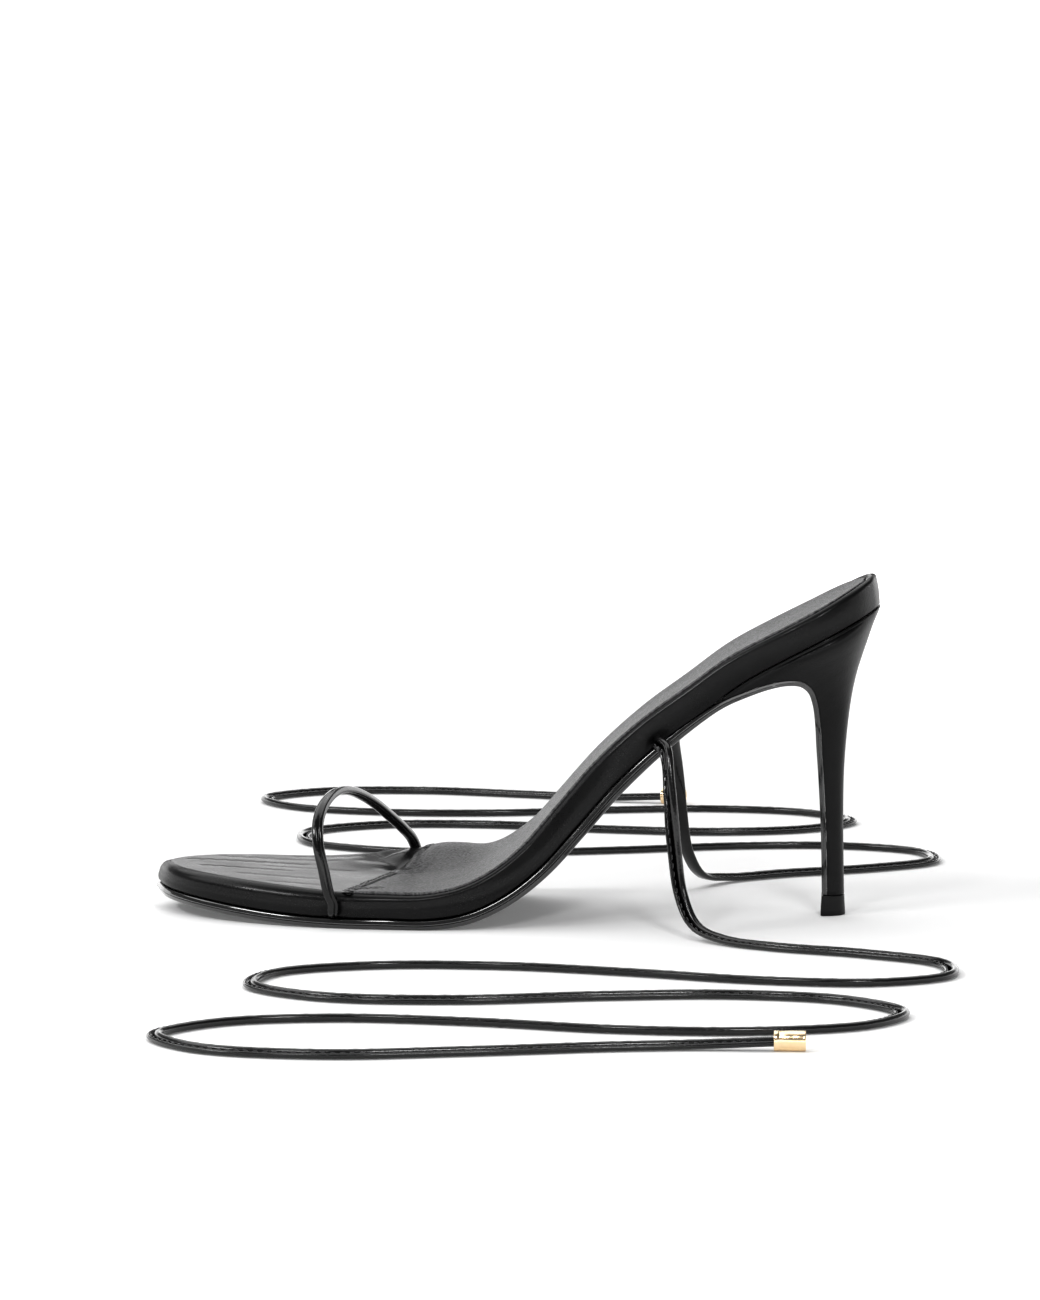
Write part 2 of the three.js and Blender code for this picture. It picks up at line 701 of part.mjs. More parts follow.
function strapRoute() {
  const wallGap = strapThickness / 2 + clearance + 0.15;
  const anchor = (side, along) => [
    besideEdge(side, along, -seatDepth, strapThickness / 2),
    besideEdge(side, along, -seatDepth / 3, strapThickness / 2),
    besideEdge(side, along, wallGap * 0.8, strapThickness * 0.8),
    besideEdge(side, along, wallGap, strapThickness * 1.9),
  ];
  const outerEnd = anchor("outer", strapOuter);
  const innerEnd = anchor("inner", strapInner);
  const from = outerEnd[3];
  const to = innerEnd[3];
  const topAt = (side, along) => {
    const edge = besideEdge(side, along, 0, 0);
    return edge.z + footbedThickness + (side === "inner" ? archRaise / 2 : 0);
  };
  const outerTop = topAt("outer", strapOuter);
  const innerTop = topAt("inner", strapInner);
  const middle = strapRows.map(
    (row) =>
      new THREE.Vector3(
        mix(from.x, to.x, row.across) - row.lean * strapLean,
        mix(from.y, to.y, row.across),
        mix(outerTop, innerTop, row.across) + row.rise * strapRise,
      ),
  );
  const points = [...outerEnd, ...middle, ...innerEnd.reverse()];
  const freeFrom = 0.16; // share of the strap that is held flat at each end
  return new GuidedRoute(points, (share, tangent) => {
    const free = ease((share - freeFrom / 2) / freeFrom) * ease((1 - freeFrom / 2 - share) / freeFrom);
    const lengthwise = new THREE.Vector3(strapRise, 0, strapLean * free);
    return new THREE.Vector3().crossVectors(lengthwise, tangent);
  });
}

function tieRoute(side, laid) {
  const wallGap = tieThickness / 2 + clearance;
  const start = [
    besideEdge(side, tieAlong, -seatDepth, tieSectionLift),
    besideEdge(side, tieAlong, -seatDepth / 3, tieSectionLift),
    besideEdge(side, tieAlong, wallGap, tieSectionLift * 1.2),
  ];
  const points = start.concat(laid.map((point) => new THREE.Vector3(...point)));
  const seamTangent = lastCurve.at(tieAlong).tangent;
  const seamUp = new THREE.Vector3(-seamTangent.y, 0, seamTangent.x);
  const up = new THREE.Vector3(0, 0, 1);
  const levelAfter = 0.05;
  const faceAt = (share) => seamUp.clone().lerp(up, ease(share / levelAfter));
  return new GuidedRoute(points, faceAt, 0.62);
}

// A flat-ended barrel at the end of a tie, on the tie's own line.
function tieTip(route) {
  const end = route.getPoint(1);
  const heading = route.getTangent(1).setZ(0).normalize();
  const half = tieTipLength / 2;
  const rim = tieTipRadius * 0.12;
  const profile = [
    [0, -half],
    [tieTipRadius - rim, -half],
    [tieTipRadius, -half + rim],
    [tieTipRadius, half - rim],
    [tieTipRadius - rim, half],
    [0, half],
  ].map(([radius, height]) => new THREE.Vector2(radius, height));
  const mesh = new THREE.Mesh(new THREE.LatheGeometry(profile, 16));
  mesh.quaternion.setFromUnitVectors(new THREE.Vector3(0, 1, 0), heading);
  mesh.position.copy(end).addScaledVector(heading, half + clearance);
  mesh.position.z = tieTipRadius;
  return mesh;
}

function toSolid(geometry) {
  const bare = geometry.clone();
  bare.deleteAttribute("normal");
  bare.deleteAttribute("uv");
  const merged = mergeVertices(bare, 1e-3);
  return new wasm.Manifold(
    new wasm.Mesh({
      numProp: 3,
      vertProperties: merged.attributes.position.array,
      triVerts: new Uint32Array(merged.index.array),
    }),
  );
}

function fromSolid(solid) {
  const mesh = solid.getMesh();
  const geometry = new THREE.BufferGeometry();
  geometry.setAttribute("position", new THREE.BufferAttribute(mesh.vertProperties, 3));
  geometry.setIndex(new THREE.BufferAttribute(mesh.triVerts, 1));
  return geometry;
}

const material = (color, roughness, metalness = 0) =>
  new THREE.MeshStandardMaterial({ color, roughness, metalness });
const leather = material(0x1c1c1e, 0.45);
const sockLeather = material(0x3a3a3c, 0.6);
const soleEdge = material(0x0c0c0d, 0.2);
const gold = material(0xe8c48a, 0.25, 1);

const sandal = new THREE.Group();
function add(name, geometry, finish) {
  const mesh = new THREE.Mesh(geometry, finish);
  mesh.name = name;
  sandal.add(mesh);
}

const strap = strapRoute();
const outerTie = tieRoute("outer", outerTieRoute);
const innerTie = tieRoute("inner", innerTieRoute);

// The footbed's lower edge has a notch for each end of the strap and of the ties.
const wider = 2.7 * clearance;
const notches = [
  band(strap, strapWidth + wider, strapThickness + wider, notchSides, strapSteps),
  band(outerTie, tieWidth + wider, tieThickness + wider, tieSides, tieSteps),
  band(innerTie, tieWidth + wider, tieThickness + wider, tieSides, tieSteps),
];
const footbed = notches.reduce(
  (body, notch) => body.subtract(toSolid(notch)),
  toSolid(footbedGeometry()),
);

add("outsole", outsoleGeometry(), soleEdge);
add("footbed", fromSolid(footbed.simplify(smallestDetail)), leather);
add("sock", sockGeometry(), sockLeather);
add("heel", heelGeometry(), leather);
add("heel_tip", heelTipGeometry(), soleEdge);
add("toe_strap", band(strap, strapWidth, strapThickness, strapSides, strapSteps), leather);
add("outer_tie", band(outerTie, tieWidth, tieThickness, tieSides, tieSteps), leather);
add("inner_tie", band(innerTie, tieWidth, tieThickness, tieSides, tieSteps), leather);
for (const [name, route] of [
  ["outer_tie_tip", outerTie],
  ["inner_tie_tip", innerTie],
]) {
  const tip = tieTip(route);
  tip.name = name;
  tip.material = gold;
  sandal.add(tip);
}

sandal.position.set(middleAlong, middleAcross, 0);

export default sandal;
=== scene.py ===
"""Looks of a lace-up heeled sandal for the left foot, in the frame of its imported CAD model."""

import math

import bpy
import numpy as np
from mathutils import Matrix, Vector


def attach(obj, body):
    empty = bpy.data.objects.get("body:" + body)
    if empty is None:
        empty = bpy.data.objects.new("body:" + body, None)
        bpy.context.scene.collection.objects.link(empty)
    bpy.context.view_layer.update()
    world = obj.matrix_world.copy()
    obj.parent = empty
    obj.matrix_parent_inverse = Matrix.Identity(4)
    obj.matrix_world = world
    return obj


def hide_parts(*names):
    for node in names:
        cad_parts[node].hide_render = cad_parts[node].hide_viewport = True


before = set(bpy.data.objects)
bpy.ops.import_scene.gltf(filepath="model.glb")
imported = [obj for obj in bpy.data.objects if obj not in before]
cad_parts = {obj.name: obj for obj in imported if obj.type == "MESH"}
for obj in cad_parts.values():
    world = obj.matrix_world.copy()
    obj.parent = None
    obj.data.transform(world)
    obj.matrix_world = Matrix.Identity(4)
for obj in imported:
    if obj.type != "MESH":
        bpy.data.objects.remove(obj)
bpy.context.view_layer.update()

MM = 0.001

# Sizes of the shoe in millimetres, as in its CAD source
SHOE_LENGTH = 210.4
HEEL_HEIGHT = 90.5
TOE_SPRING = 4.6
BALL_WIDTH = 76.5
SEAT_WIDTH = 49
OUTSOLE_THICKNESS = 3.3
WAIST_SOLE_THICKNESS = 3.4
FLAP_THICKNESS = 1.5
BEAD_PROUD = 0.5
FOOTBED_THICKNESS = 8.4
ARCH_RAISE = 4.4
TOE_EDGE_RADIUS = 3.4
WAIST_EDGE_RADIUS = 1.6
SEAT_DISH = 0.8
SEAT_UPRIGHT = 3
SOCK_THICKNESS = 0.9
SOCK_MARGIN = 2.1
SOCK_FRONT = 57
SOCK_SLANT = 20
COLUMN_HALF = 4.8
HEEL_TIP_HEIGHT = 6
HEEL_TIP_PROUD = 0.35
STRAP_WIDTH = 3.2
STRAP_THICKNESS = 2.3
STRAP_RISE = 24.6
STRAP_OUTER = 55
STRAP_INNER = 73.5
STRAP_LEAN = 6.6
TIE_WIDTH = 4.2
TIE_THICKNESS = 2.2
TIE_ALONG = 166
SEAT_DEPTH = 4.5
TIE_TIP_RADIUS = 2.6
TIE_TIP_LENGTH = 8
CLEARANCE = 0.3
SOCK_GAP = 0.43
MIDDLE_ALONG = 0.25
MIDDLE_ACROSS = -1.2

TOE_X = -SHOE_LENGTH / 2
TREAD_LEVEL = OUTSOLE_THICKNESS - CLEARANCE / 3
SEAT_HALF = SEAT_WIDTH / 2
BALL_HALF = BALL_WIDTH / 2


def columns(names, rows):
    """A table as one array for each of its named columns."""
    return dict(zip(names.split(), np.array(rows, float).T))


# Seam between footbed and outsole in the centre plane, from toe to seat
LAST = columns("along lift spring", [
    (0.0, 0, 1),
    (0.06, 0, 0.72),
    (0.127, 0, 0.39),
    (0.195, 0, 0.13),
    (0.262, 0, 0),
    (0.329, 0, 0),
    (0.391, 0, 0),
    (0.444, 0.022, 0),
    (0.493, 0.077, 0),
    (0.541, 0.166, 0),
    (0.589, 0.291, 0),
    (0.642, 0.433, 0),
    (0.7, 0.56, 0),
    (0.757, 0.662, 0),
    (0.815, 0.766, 0),
    (0.875, 0.847, 0),
    (0.936, 0.921, 0),
    (1.0, 1, 0),
])
LAST_ROWS_BEFORE_HEEL = 14
WAIST_START_ROW = 7
WAIST_FULL_ROW = 10

# Outline of the footbed laid flat
OUTLINE = columns("along outer inner", [
    (0.0, -0.11, 0.17),
    (0.014, 0.16, 0.37),
    (0.037, 0.37, 0.53),
    (0.07, 0.55, 0.68),
    (0.118, 0.72, 0.81),
    (0.178, 0.86, 0.91),
    (0.245, 0.95, 0.98),
    (0.31, 0.99, 1.0),
    (0.375, 0.985, 0.96),
    (0.44, 0.92, 0.86),
    (0.507, 0.82, 0.73),
    (0.574, 0.71, 0.61),
    (0.64, 0.96, 0.86),
    (0.707, 0.92, 0.86),
    (0.77, 0.94, 0.92),
    (0.83, 0.98, 0.98),
    (0.885, 1.0, 1.0),
    (0.935, 0.91, 0.91),
    (0.972, 0.68, 0.68),
    (0.993, 0.36, 0.36),
    (1.0, 0.08, 0.08),
])
SEAT_FROM = 0.6
UPRIGHT_FROM = 0.87

# Footbed along its length: height of its wall, arch raise, dish of the seat, softness of its edge
FOOTBED = columns("along wall raise dish soft", [
    (0.0, 0.72, 0, 0, 0.85),
    (0.1, 0.87, 0, 0, 1),
    (0.19, 0.9, 0.08, 0, 1),
    (0.25, 0.84, 0.4, 0, 0.7),
    (0.3, 0.8, 0.75, 0, 0.3),
    (0.34, 0.82, 1, 0.2, 0.1),
    (0.38, 0.86, 0.75, 0.3, 0),
    (0.42, 0.87, 0.2, 0.5, 0),
    (0.48, 0.88, 0, 0.6, 0),
    (0.58, 0.94, 0, 0.6, 0),
    (0.7, 0.96, 0, 0.8, 0),
    (0.8, 0.94, 0, 1, 0),
    (0.92, 0.93, 0, 1, 0.1),
    (1.0, 1.06, 0, 1, 0.1),
])

# Heel sections from the tongue under the waist down to the foot of the column
HEEL = columns("front_along front_lift back_along back_lift half seat", [
    (0.785, 0.713, 0.999, 0.985, 0.9, 1),
    (0.816, 0.743, 0.996, 0.968, 0.915, 0.97),
    (0.849, 0.768, 0.992, 0.945, 0.9, 0.88),
    (0.8745, 0.777, 0.988, 0.919, 0.84, 0.72),
    (0.8945, 0.77, 0.983, 0.884, 0.74, 0.5),
    (0.9085, 0.741, 0.977, 0.842, 0.61, 0.3),
    (0.9158, 0.692, 0.9695, 0.785, 0.48, 0.12),
    (0.9192, 0.632, 0.9625, 0.708, 0.375, 0),
    (0.9215, 0.544, 0.9566, 0.6, 0.295, 0),
    (0.9246, 0.44, 0.9525, 0.467, 0.245, 0),
    (0.9278, 0.297, 0.9518, 0.308, 0.215, 0),
    (0.9295, 0.154, 0.9528, 0.156, 0.2, 0),
    (
        0.93,
        (HEEL_TIP_HEIGHT + CLEARANCE) / HEEL_HEIGHT,
        0.9536,
        (HEEL_TIP_HEIGHT + CLEARANCE) / HEEL_HEIGHT,
        COLUMN_HALF / SEAT_HALF,
        0,
    ),
])

# Side of the outsole from its tread up: a flat band, a groove, and the bead under the seam. It has
# more rows than the CAD source, a groove about 0.36 mm lower and a flatter upper face on the bead.
OUTSOLE_SIDE = columns("depth out", [
    (1.0, -2.6),
    (0.97, -1.75),
    (0.86, -1.1),
    (0.7, -0.62),
    (0.59, -0.3),
    (0.56, -0.42),
    (0.53, -1.0),
    (0.5, -0.35),
    (0.47, 0.6),
    (0.44, 0.95),
    (0.4, 0.98),
    (0.24, 0.66),
    (0.07, 0.24),
    (0.02, -0.1),
    (0.0, -0.9),
])

# Toe strap between its two anchors
STRAP = columns("across rise lean", [
    (-0.012, -0.05, 0.12),
    (-0.012, 0.25, 0.36),
    (0.0, 0.5, 0.61),
    (0.035, 0.72, 0.78),
    (0.1, 0.87, 0.88),
    (0.2, 0.965, 0.94),
    (0.32, 0.99, 0.97),
    (0.45, 0.93, 0.935),
    (0.58, 0.805, 0.85),
    (0.7, 0.645, 0.72),
    (0.81, 0.45, 0.53),
    (0.91, 0.255, 0.32),
    (0.985, 0.07, 0.14),
    (1.012, -0.12, 0.03),
])

# Ties from the seam down to the floor and along it
OUTER_TIE = [
    (44, -30.5, 51.5), (45.5, -36.5, 40), (47, -40.5, 25), (49, -44, 12), (53, -50, 4.2),
    (61, -59, 1.7), (76, -69, 1.3), (100, -79, 1.3), (121, -94, 1.3), (122, -114, 1.3),
    (103, -126, 1.3), (72, -124, 1.3), (38, -113, 1.3), (2, -104, 1.3), (-34, -105, 1.3),
    (-59, -118, 1.3), (-63, -140, 1.3), (-43, -157, 1.3), (-8, -160, 1.3), (30, -152, 1.3),
    (64, -148, 1.3), (94, -155, 1.3), (109, -173, 1.3), (99, -192, 1.3), (70, -202, 1.3),
    (36, -201, 1.3), (0, -192, 1.3), (-37, -188, 1.3), (-66, -196, 1.3), (-80, -215, 1.3),
    (-67, -234, 1.3), (-36, -241, 1.3), (0, -235, 1.3), (34, -227, 1.3), (56, -224, 1.5),
    (76, -224, 2.4),
]
INNER_TIE = [
    (44, 29.5, 51.5), (45.5, 35.5, 40), (47, 39.5, 25), (49, 43.5, 12), (53, 50, 4.2),
    (61, 60, 1.7), (78, 72, 1.3), (104, 84, 1.3), (123, 100, 1.3), (120, 121, 1.3),
    (96, 133, 1.3), (62, 131, 1.3), (26, 120, 1.3), (-12, 112, 1.3), (-48, 116, 1.3),
    (-72, 132, 1.3), (-74, 156, 1.3), (-52, 173, 1.3), (-18, 175, 1.3), (20, 166, 1.3),
    (56, 162, 1.3), (86, 171, 1.3), (99, 191, 1.3), (85, 210, 1.3), (54, 218, 1.3),
    (18, 213, 1.3), (-18, 204, 1.3), (-54, 204, 1.3), (-84, 215, 1.3), (-96, 236, 1.3),
    (-79, 254, 1.3), (-45, 258, 1.3), (-10, 250, 1.3), (16, 242, 1.5), (36, 238, 2.4),
]

# Creases of the footbed's leather and of the sock over it: each goes from one flat
# place to another, is a trough of a depth and a half width, and has a low ridge on one side
CREASES = columns("along across to_along to_across depth half ridge", [
    (62, 31, 71, 15, 1.3, 4.5, 0.2),
    (68, 21, 77, 5, 1.0, 4.0, 0.3),
    (61, 33.5, 69, 33, 0.6, 2.0, 0.3),
    (58.5, -29.8, 68.5, -27.4, 0.5, 0.9, 0.2),
    (64, 31, 71, 36, 0.45, 1.3, 0.3),
    (7, 9, 44, 13, 0.13, 1.4, 0.1),
    (12, -2, 40, -1, 0.12, 1.2, 0.1),
    (16, 18, 52, 22, 0.12, 1.6, 0.08),
    (24, -12, 50, -13, 0.11, 1.3, 0.1),
    (30, 5, 58, 7, 0.1, 1.1, 0.08),
    (36, 27, 62, 30, 0.13, 1.7, 0.1),
    (34, -23, 52, -24, 0.1, 1.3, 0.08),
    (78, 12, 92, 22, 0.16, 3.0, 0.05),
    (80, -20, 95, -12, 0.14, 2.6, 0.05),
])


def mix(a, b, share):
    return a + (b - a) * share


def ease(value):
    share = np.clip(value, 0, 1)
    return share * share * (3 - 2 * share)


def table_value(table, column, along):
    """One column of a table, on a smooth curve through its rows."""
    rows, values = table["along"], table[column]
    slopes = np.gradient(values, rows)
    row = np.clip(np.searchsorted(rows, along, "right") - 1, 0, len(rows) - 2)
    step = rows[row + 1] - rows[row]
    w = np.clip((along - rows[row]) / step, 0, 1)
    return (
        values[row] * (1 + 2 * w) * (1 - w) ** 2
        + slopes[row] * step * w * (1 - w) ** 2
        + values[row + 1] * w**2 * (3 - 2 * w)
        + slopes[row + 1] * step * w**2 * (w - 1)
    )


def cubic(b, c, start, end, w):
    """A curve from b to c that leaves and arrives with two given slopes."""
    square = -3 * b + 3 * c - 2 * start - end
    cube = 2 * b - 2 * c + start + end
    return b + start * w + square * w**2 + cube * w**3


def catmull(points, shares):
    """A centripetal Catmull-Rom curve, open at its ends."""
    points = np.asarray(points, float)
    padded = np.vstack([2 * points[0] - points[1], points, 2 * points[-1] - points[-2]])
    place = np.clip(shares, 0, 1) * (len(points) - 1)
    row = np.minimum(place.astype(int), len(points) - 2)
    w = (place - row)[:, None]
    a, b, c, d = (padded[row + k] for k in range(4))
    ab, bc, cd = (
        np.maximum(np.sum((q - p) ** 2, axis=1) ** 0.25, 1e-6)[:, None]
        for p, q in ((a, b), (b, c), (c, d))
    )
    start = ((b - a) / ab - (c - a) / (ab + bc) + (c - b) / bc) * bc
    end = ((c - b) / bc - (d - b) / (bc + cd) + (d - c) / cd) * bc
    return cubic(b, c, start, end, w)


def even_catmull(points, shares):
    """A uniform Catmull-Rom curve whose end points count twice."""
    points = np.asarray(points, float)
    padded = np.vstack([points[0], points, points[-1]])
    place = np.clip(shares, 0, 1) * (len(points) - 1)
    row = np.minimum(place.astype(int), len(points) - 2)
    w = (place - row)[:, None]
    a, b, c, d = (padded[row + k] for k in range(4))
    return cubic(b, c, (c - a) / 2, (d - b) / 2, w)


class LongCurve:
    """A curve through points that knows its own length."""

    FINENESS = 80

    def __init__(self, points):
        steps = (len(points) - 1) * self.FINENESS
        self.points = catmull(points, np.linspace(0, 1, steps + 1))
        parts = np.linalg.norm(np.diff(self.points, axis=0), axis=1)
        self.lengths = np.concatenate([[0], np.cumsum(parts)])
        self.length = self.lengths[-1]
        self.tangents = np.gradient(self.points, self.lengths, axis=0)
        self.tangents /= np.linalg.norm(self.tangents, axis=1)[:, None]

    def length_at_row(self, row):
        return np.interp(row * self.FINENESS, np.arange(len(self.lengths)), self.lengths)

    def at(self, distance):
        inside = np.clip(distance, 0, self.length)
        point, tangent = (
            np.stack([np.interp(inside, self.lengths, column) for column in values.T], axis=-1)
            for values in (self.points, self.tangents)
        )
        tangent /= np.linalg.norm(tangent, axis=-1)[..., None]
        return point, tangent, distance - inside


def to_frame(points):
    """Points of the shoe in millimetres as points of the frame in metres."""
    return (np.asarray(points) + (MIDDLE_ALONG, MIDDLE_ACROSS, 0)) * MM


last_points = np.stack(
    [
        TOE_X + LAST["along"] * SHOE_LENGTH,
        TREAD_LEVEL + LAST["spring"] * TOE_SPRING + LAST["lift"] * (HEEL_HEIGHT - TREAD_LEVEL),
    ],
    axis=1,
)
last_curve = LongCurve(last_points)
heel_fronts = np.stack(
    [TOE_X + HEEL["front_along"] * SHOE_LENGTH, HEEL["front_lift"] * HEEL_HEIGHT], axis=1
)
heel_backs = np.stack(
    [TOE_X + HEEL["back_along"] * SHOE_LENGTH, HEEL["back_lift"] * HEEL_HEIGHT], axis=1
)
sole_curve = LongCurve(np.vstack([last_points[:LAST_ROWS_BEFORE_HEEL], heel_fronts]))


def bend(curve, along, across, level):
    """Points that are given flat, set at a level above the curve."""
    point, tangent, beyond = curve.at(along)
    return np.stack(
        [
            point[..., 0] + tangent[..., 0] * beyond - tangent[..., 1] * level,
            across + 0 * along,
            point[..., 1] + tangent[..., 1] * beyond + tangent[..., 0] * level,
        ],
        axis=-1,
    )


outline_half = np.where(OUTLINE["along"] < SEAT_FROM, BALL_HALF, SEAT_HALF)
outline = {
    "along": OUTLINE["along"] * last_curve.length,
    "outer": -OUTLINE["outer"] * outline_half,
    "inner": OUTLINE["inner"] * outline_half,
}


def side_of(rows, side, count, start=0.0):
    points = np.stack([rows["along"], rows[side]], axis=1)
    return even_catmull(points, np.linspace(start, 1, count + 1))


SIDE_SAMPLES = 800
outline_sides = {side: side_of(outline, side, SIDE_SAMPLES) for side in ("outer", "inner")}


def half_width(side, along):
    points = outline_sides[side]
    return np.abs(np.interp(along, points[:, 0], points[:, 1]))


def flat_ring(outer, inner, lanes):
    """A closed flat ring: outer side, back edge, inner side forward, front edge."""
    shares = np.arange(1, lanes)[:, None] / lanes
    back = mix(outer[-1], inner[-1], shares)
    front = mix(inner[0], outer[0], shares)
    return np.vstack([outer, back, inner[::-1], front])


def inset(ring, distance):
    """The ring moved inwards by a distance that may change from point to point."""
    entering = ring - np.roll(ring, 1, axis=0)
    leaving = np.roll(ring, -1, axis=0) - ring
    entering /= np.maximum(np.linalg.norm(entering, axis=1), 1e-9)[:, None]
    leaving /= np.maximum(np.linalg.norm(leaving, axis=1), 1e-9)[:, None]
    normal = entering + leaving
    length = np.maximum(np.linalg.norm(normal, axis=1), 1e-9)
    normal /= length[:, None]
    reach = distance * np.minimum(2 / length, 1.4)
    return ring + np.stack([-normal[:, 1] * reach, normal[:, 0] * reach], axis=1)


def stack_faces(ring_count, size, stations, lanes):
    """Faces of a closed stack of rings, lowest first, with gridded caps below and above."""
    first = np.arange(size)
    after = (first + 1) % size
    faces = []
    for r in range(ring_count - 1):
        base = r * size
        quads = [first + base, after + base, after + base + size, first + base + size]
        faces.append(np.stack(quads, axis=1))
    free = ring_count * size
    for cap in (0, 1):
        base = cap * (ring_count - 1) * size
        grid = np.zeros((stations + 1, lanes + 1), int)
        rows, across = np.arange(stations + 1), np.arange(lanes + 1)
        inner_rows = size - 1 - (lanes - 1) - rows
        grid[:, 0] = base + rows
        grid[:, lanes] = base + inner_rows
        grid[0, 1:lanes] = base + size - across[1:lanes]
        grid[stations, 1:lanes] = base + stations + across[1:lanes]
        middle = (stations - 1) * (lanes - 1)
        grid[1:stations, 1:lanes] = free + np.arange(middle).reshape(stations - 1, lanes - 1)
        free += middle
        quads = [grid[:-1, :-1], grid[1:, :-1], grid[1:, 1:], grid[:-1, 1:]]
        if not cap:
            quads.reverse()
        faces.append(np.stack([q.ravel() for q in quads], axis=1))
    return np.vstack(faces)


def between_sides(ring, stations, lanes):
    """Values inside a cap, between the two sides of its ring."""
    outer = ring[1:stations]
    inner_at = len(ring) - 1 - (lanes - 1) - np.arange(1, stations)
    shares = (np.arange(1, lanes) / lanes)[None, :, None]
    middle = mix(outer[:, None], ring[inner_at][:, None], shares)
    return middle.reshape(-1, ring.shape[1])


def new_mesh(name, points, faces, material, shoe=None):
    """A piece of the sandal, from points in metres. shoe holds their flat places in millimetres."""
    mesh = bpy.data.meshes.new(name)
    mesh.from_pydata(np.asarray(points).tolist(), [], [list(map(int, face)) for face in faces])
    mesh.polygons.foreach_set("use_smooth", np.full(len(mesh.polygons), True))
    if shoe is not None:
        place = mesh.attributes.new("shoe", "FLOAT_VECTOR", "POINT")
        place.data.foreach_set("vector", np.asarray(shoe, np.float32).ravel())
    mesh.validate()
    piece = bpy.data.objects.new(name, mesh)
    bpy.context.scene.collection.objects.link(piece)
    mesh.materials.append(material)
    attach(piece, "root")
    return piece


def stand_for(node):
    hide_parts(node)


def layer(curve, rings, levels, stations, lanes, lift=None, shift=None):
    """Points, faces and flat places of a layer along a curve, from its rings and their levels."""
    flats, heights = list(rings), [level(ring) for ring, level in zip(rings, levels)]
    for end in (0, -1):
        cap = between_sides(rings[end], stations, lanes)
        flats.append(cap)
        heights.append(levels[end](cap))
    flat = np.vstack(flats)
    height = np.concatenate(heights)
    moved = flat[:, 0] + (shift(flat, height) if shift else 0)
    points = bend(curve, moved, flat[:, 1], height)
    if lift:
        points = lift(points)
    faces = stack_faces(len(rings), len(rings[0]), stations, lanes)
    return to_frame(points), faces, np.column_stack([flat, height])


CREASE_WANDER = 0.35  # of its half width, to either side
RIDGE_OFFSET = 1.9  # half widths from trough to ridge


def crease_level(flat):
    """How far the creases lower or raise the top at flat places."""
    total = np.zeros(len(flat))
    names = ("along", "across", "to_along", "to_across", "depth", "half", "ridge")
    for a, b, to_a, to_b, depth, half, ridge in zip(*(CREASES[name] for name in names)):
        start, way = np.array([a, b]), np.array([to_a - a, to_b - b])
        length = np.linalg.norm(way)
        way /= length
        offset = flat - start
        ahead = offset @ way
        aside = offset @ np.array([-way[1], way[0]])
        wander = CREASE_WANDER * half * np.sin(ahead * 2.1 / half + a)
        fade = ease((ahead + half) / (2 * half)) * ease((length - ahead + half) / (2 * half))
        near = (aside + wander) / half
        total -= depth * fade * np.exp(-(near**2))
        total += ridge * depth * fade * np.exp(-((near - RIDGE_OFFSET) ** 2))
    return total


def footbed_top(flat):
    along = flat[:, 0] / last_curve.length
    inner = flat[:, 1] >= 0
    half = np.where(inner, half_width("inner", flat[:, 0]), half_width("outer", flat[:, 0]))
    to_edge = np.minimum(np.abs(flat[:, 1]) / np.maximum(half, 1), 1)
    raised = np.where(inner, ease((to_edge - 0.1) / 0.8), 0)
    return (
        FOOTBED_THICKNESS * table_value(FOOTBED, "wall", along)
        + ARCH_RAISE * table_value(FOOTBED, "raise", along) * raised
        + SEAT_DISH * table_value(FOOTBED, "dish", along) * (to_edge**2 - 1)
    )


def back_shift(flat, level):
    """How far back a place of footbed or sock is set, so that the wall behind the seat stands."""
    share = ease((flat[:, 0] / last_curve.length - UPRIGHT_FROM) / (1 - UPRIGHT_FROM))
    return SEAT_UPRIGHT * share * level / FOOTBED_THICKNESS


def edge_radius(flat):
    soft = table_value(FOOTBED, "soft", flat[:, 0] / last_curve.length)
    return mix(WAIST_EDGE_RADIUS, TOE_EDGE_RADIUS, soft)


# Camera: the photograph's angle, a little from the heel's side and a little from above
camera_data = bpy.data.cameras.new("camera")
camera = bpy.data.objects.new("camera", camera_data)
bpy.context.scene.collection.objects.link(camera)
bpy.context.scene.camera = camera
camera.location = (0.0826, -1.5491, 0.240)
CAMERA_TARGET = Vector((0.0014, -0.0012, 0.0766))
camera.rotation_euler = (CAMERA_TARGET - camera.location).to_track_quat("-Z", "Y").to_euler()
camera_data.sensor_width = 36
camera_data.lens = 148.8
camera_data.clip_end = 50


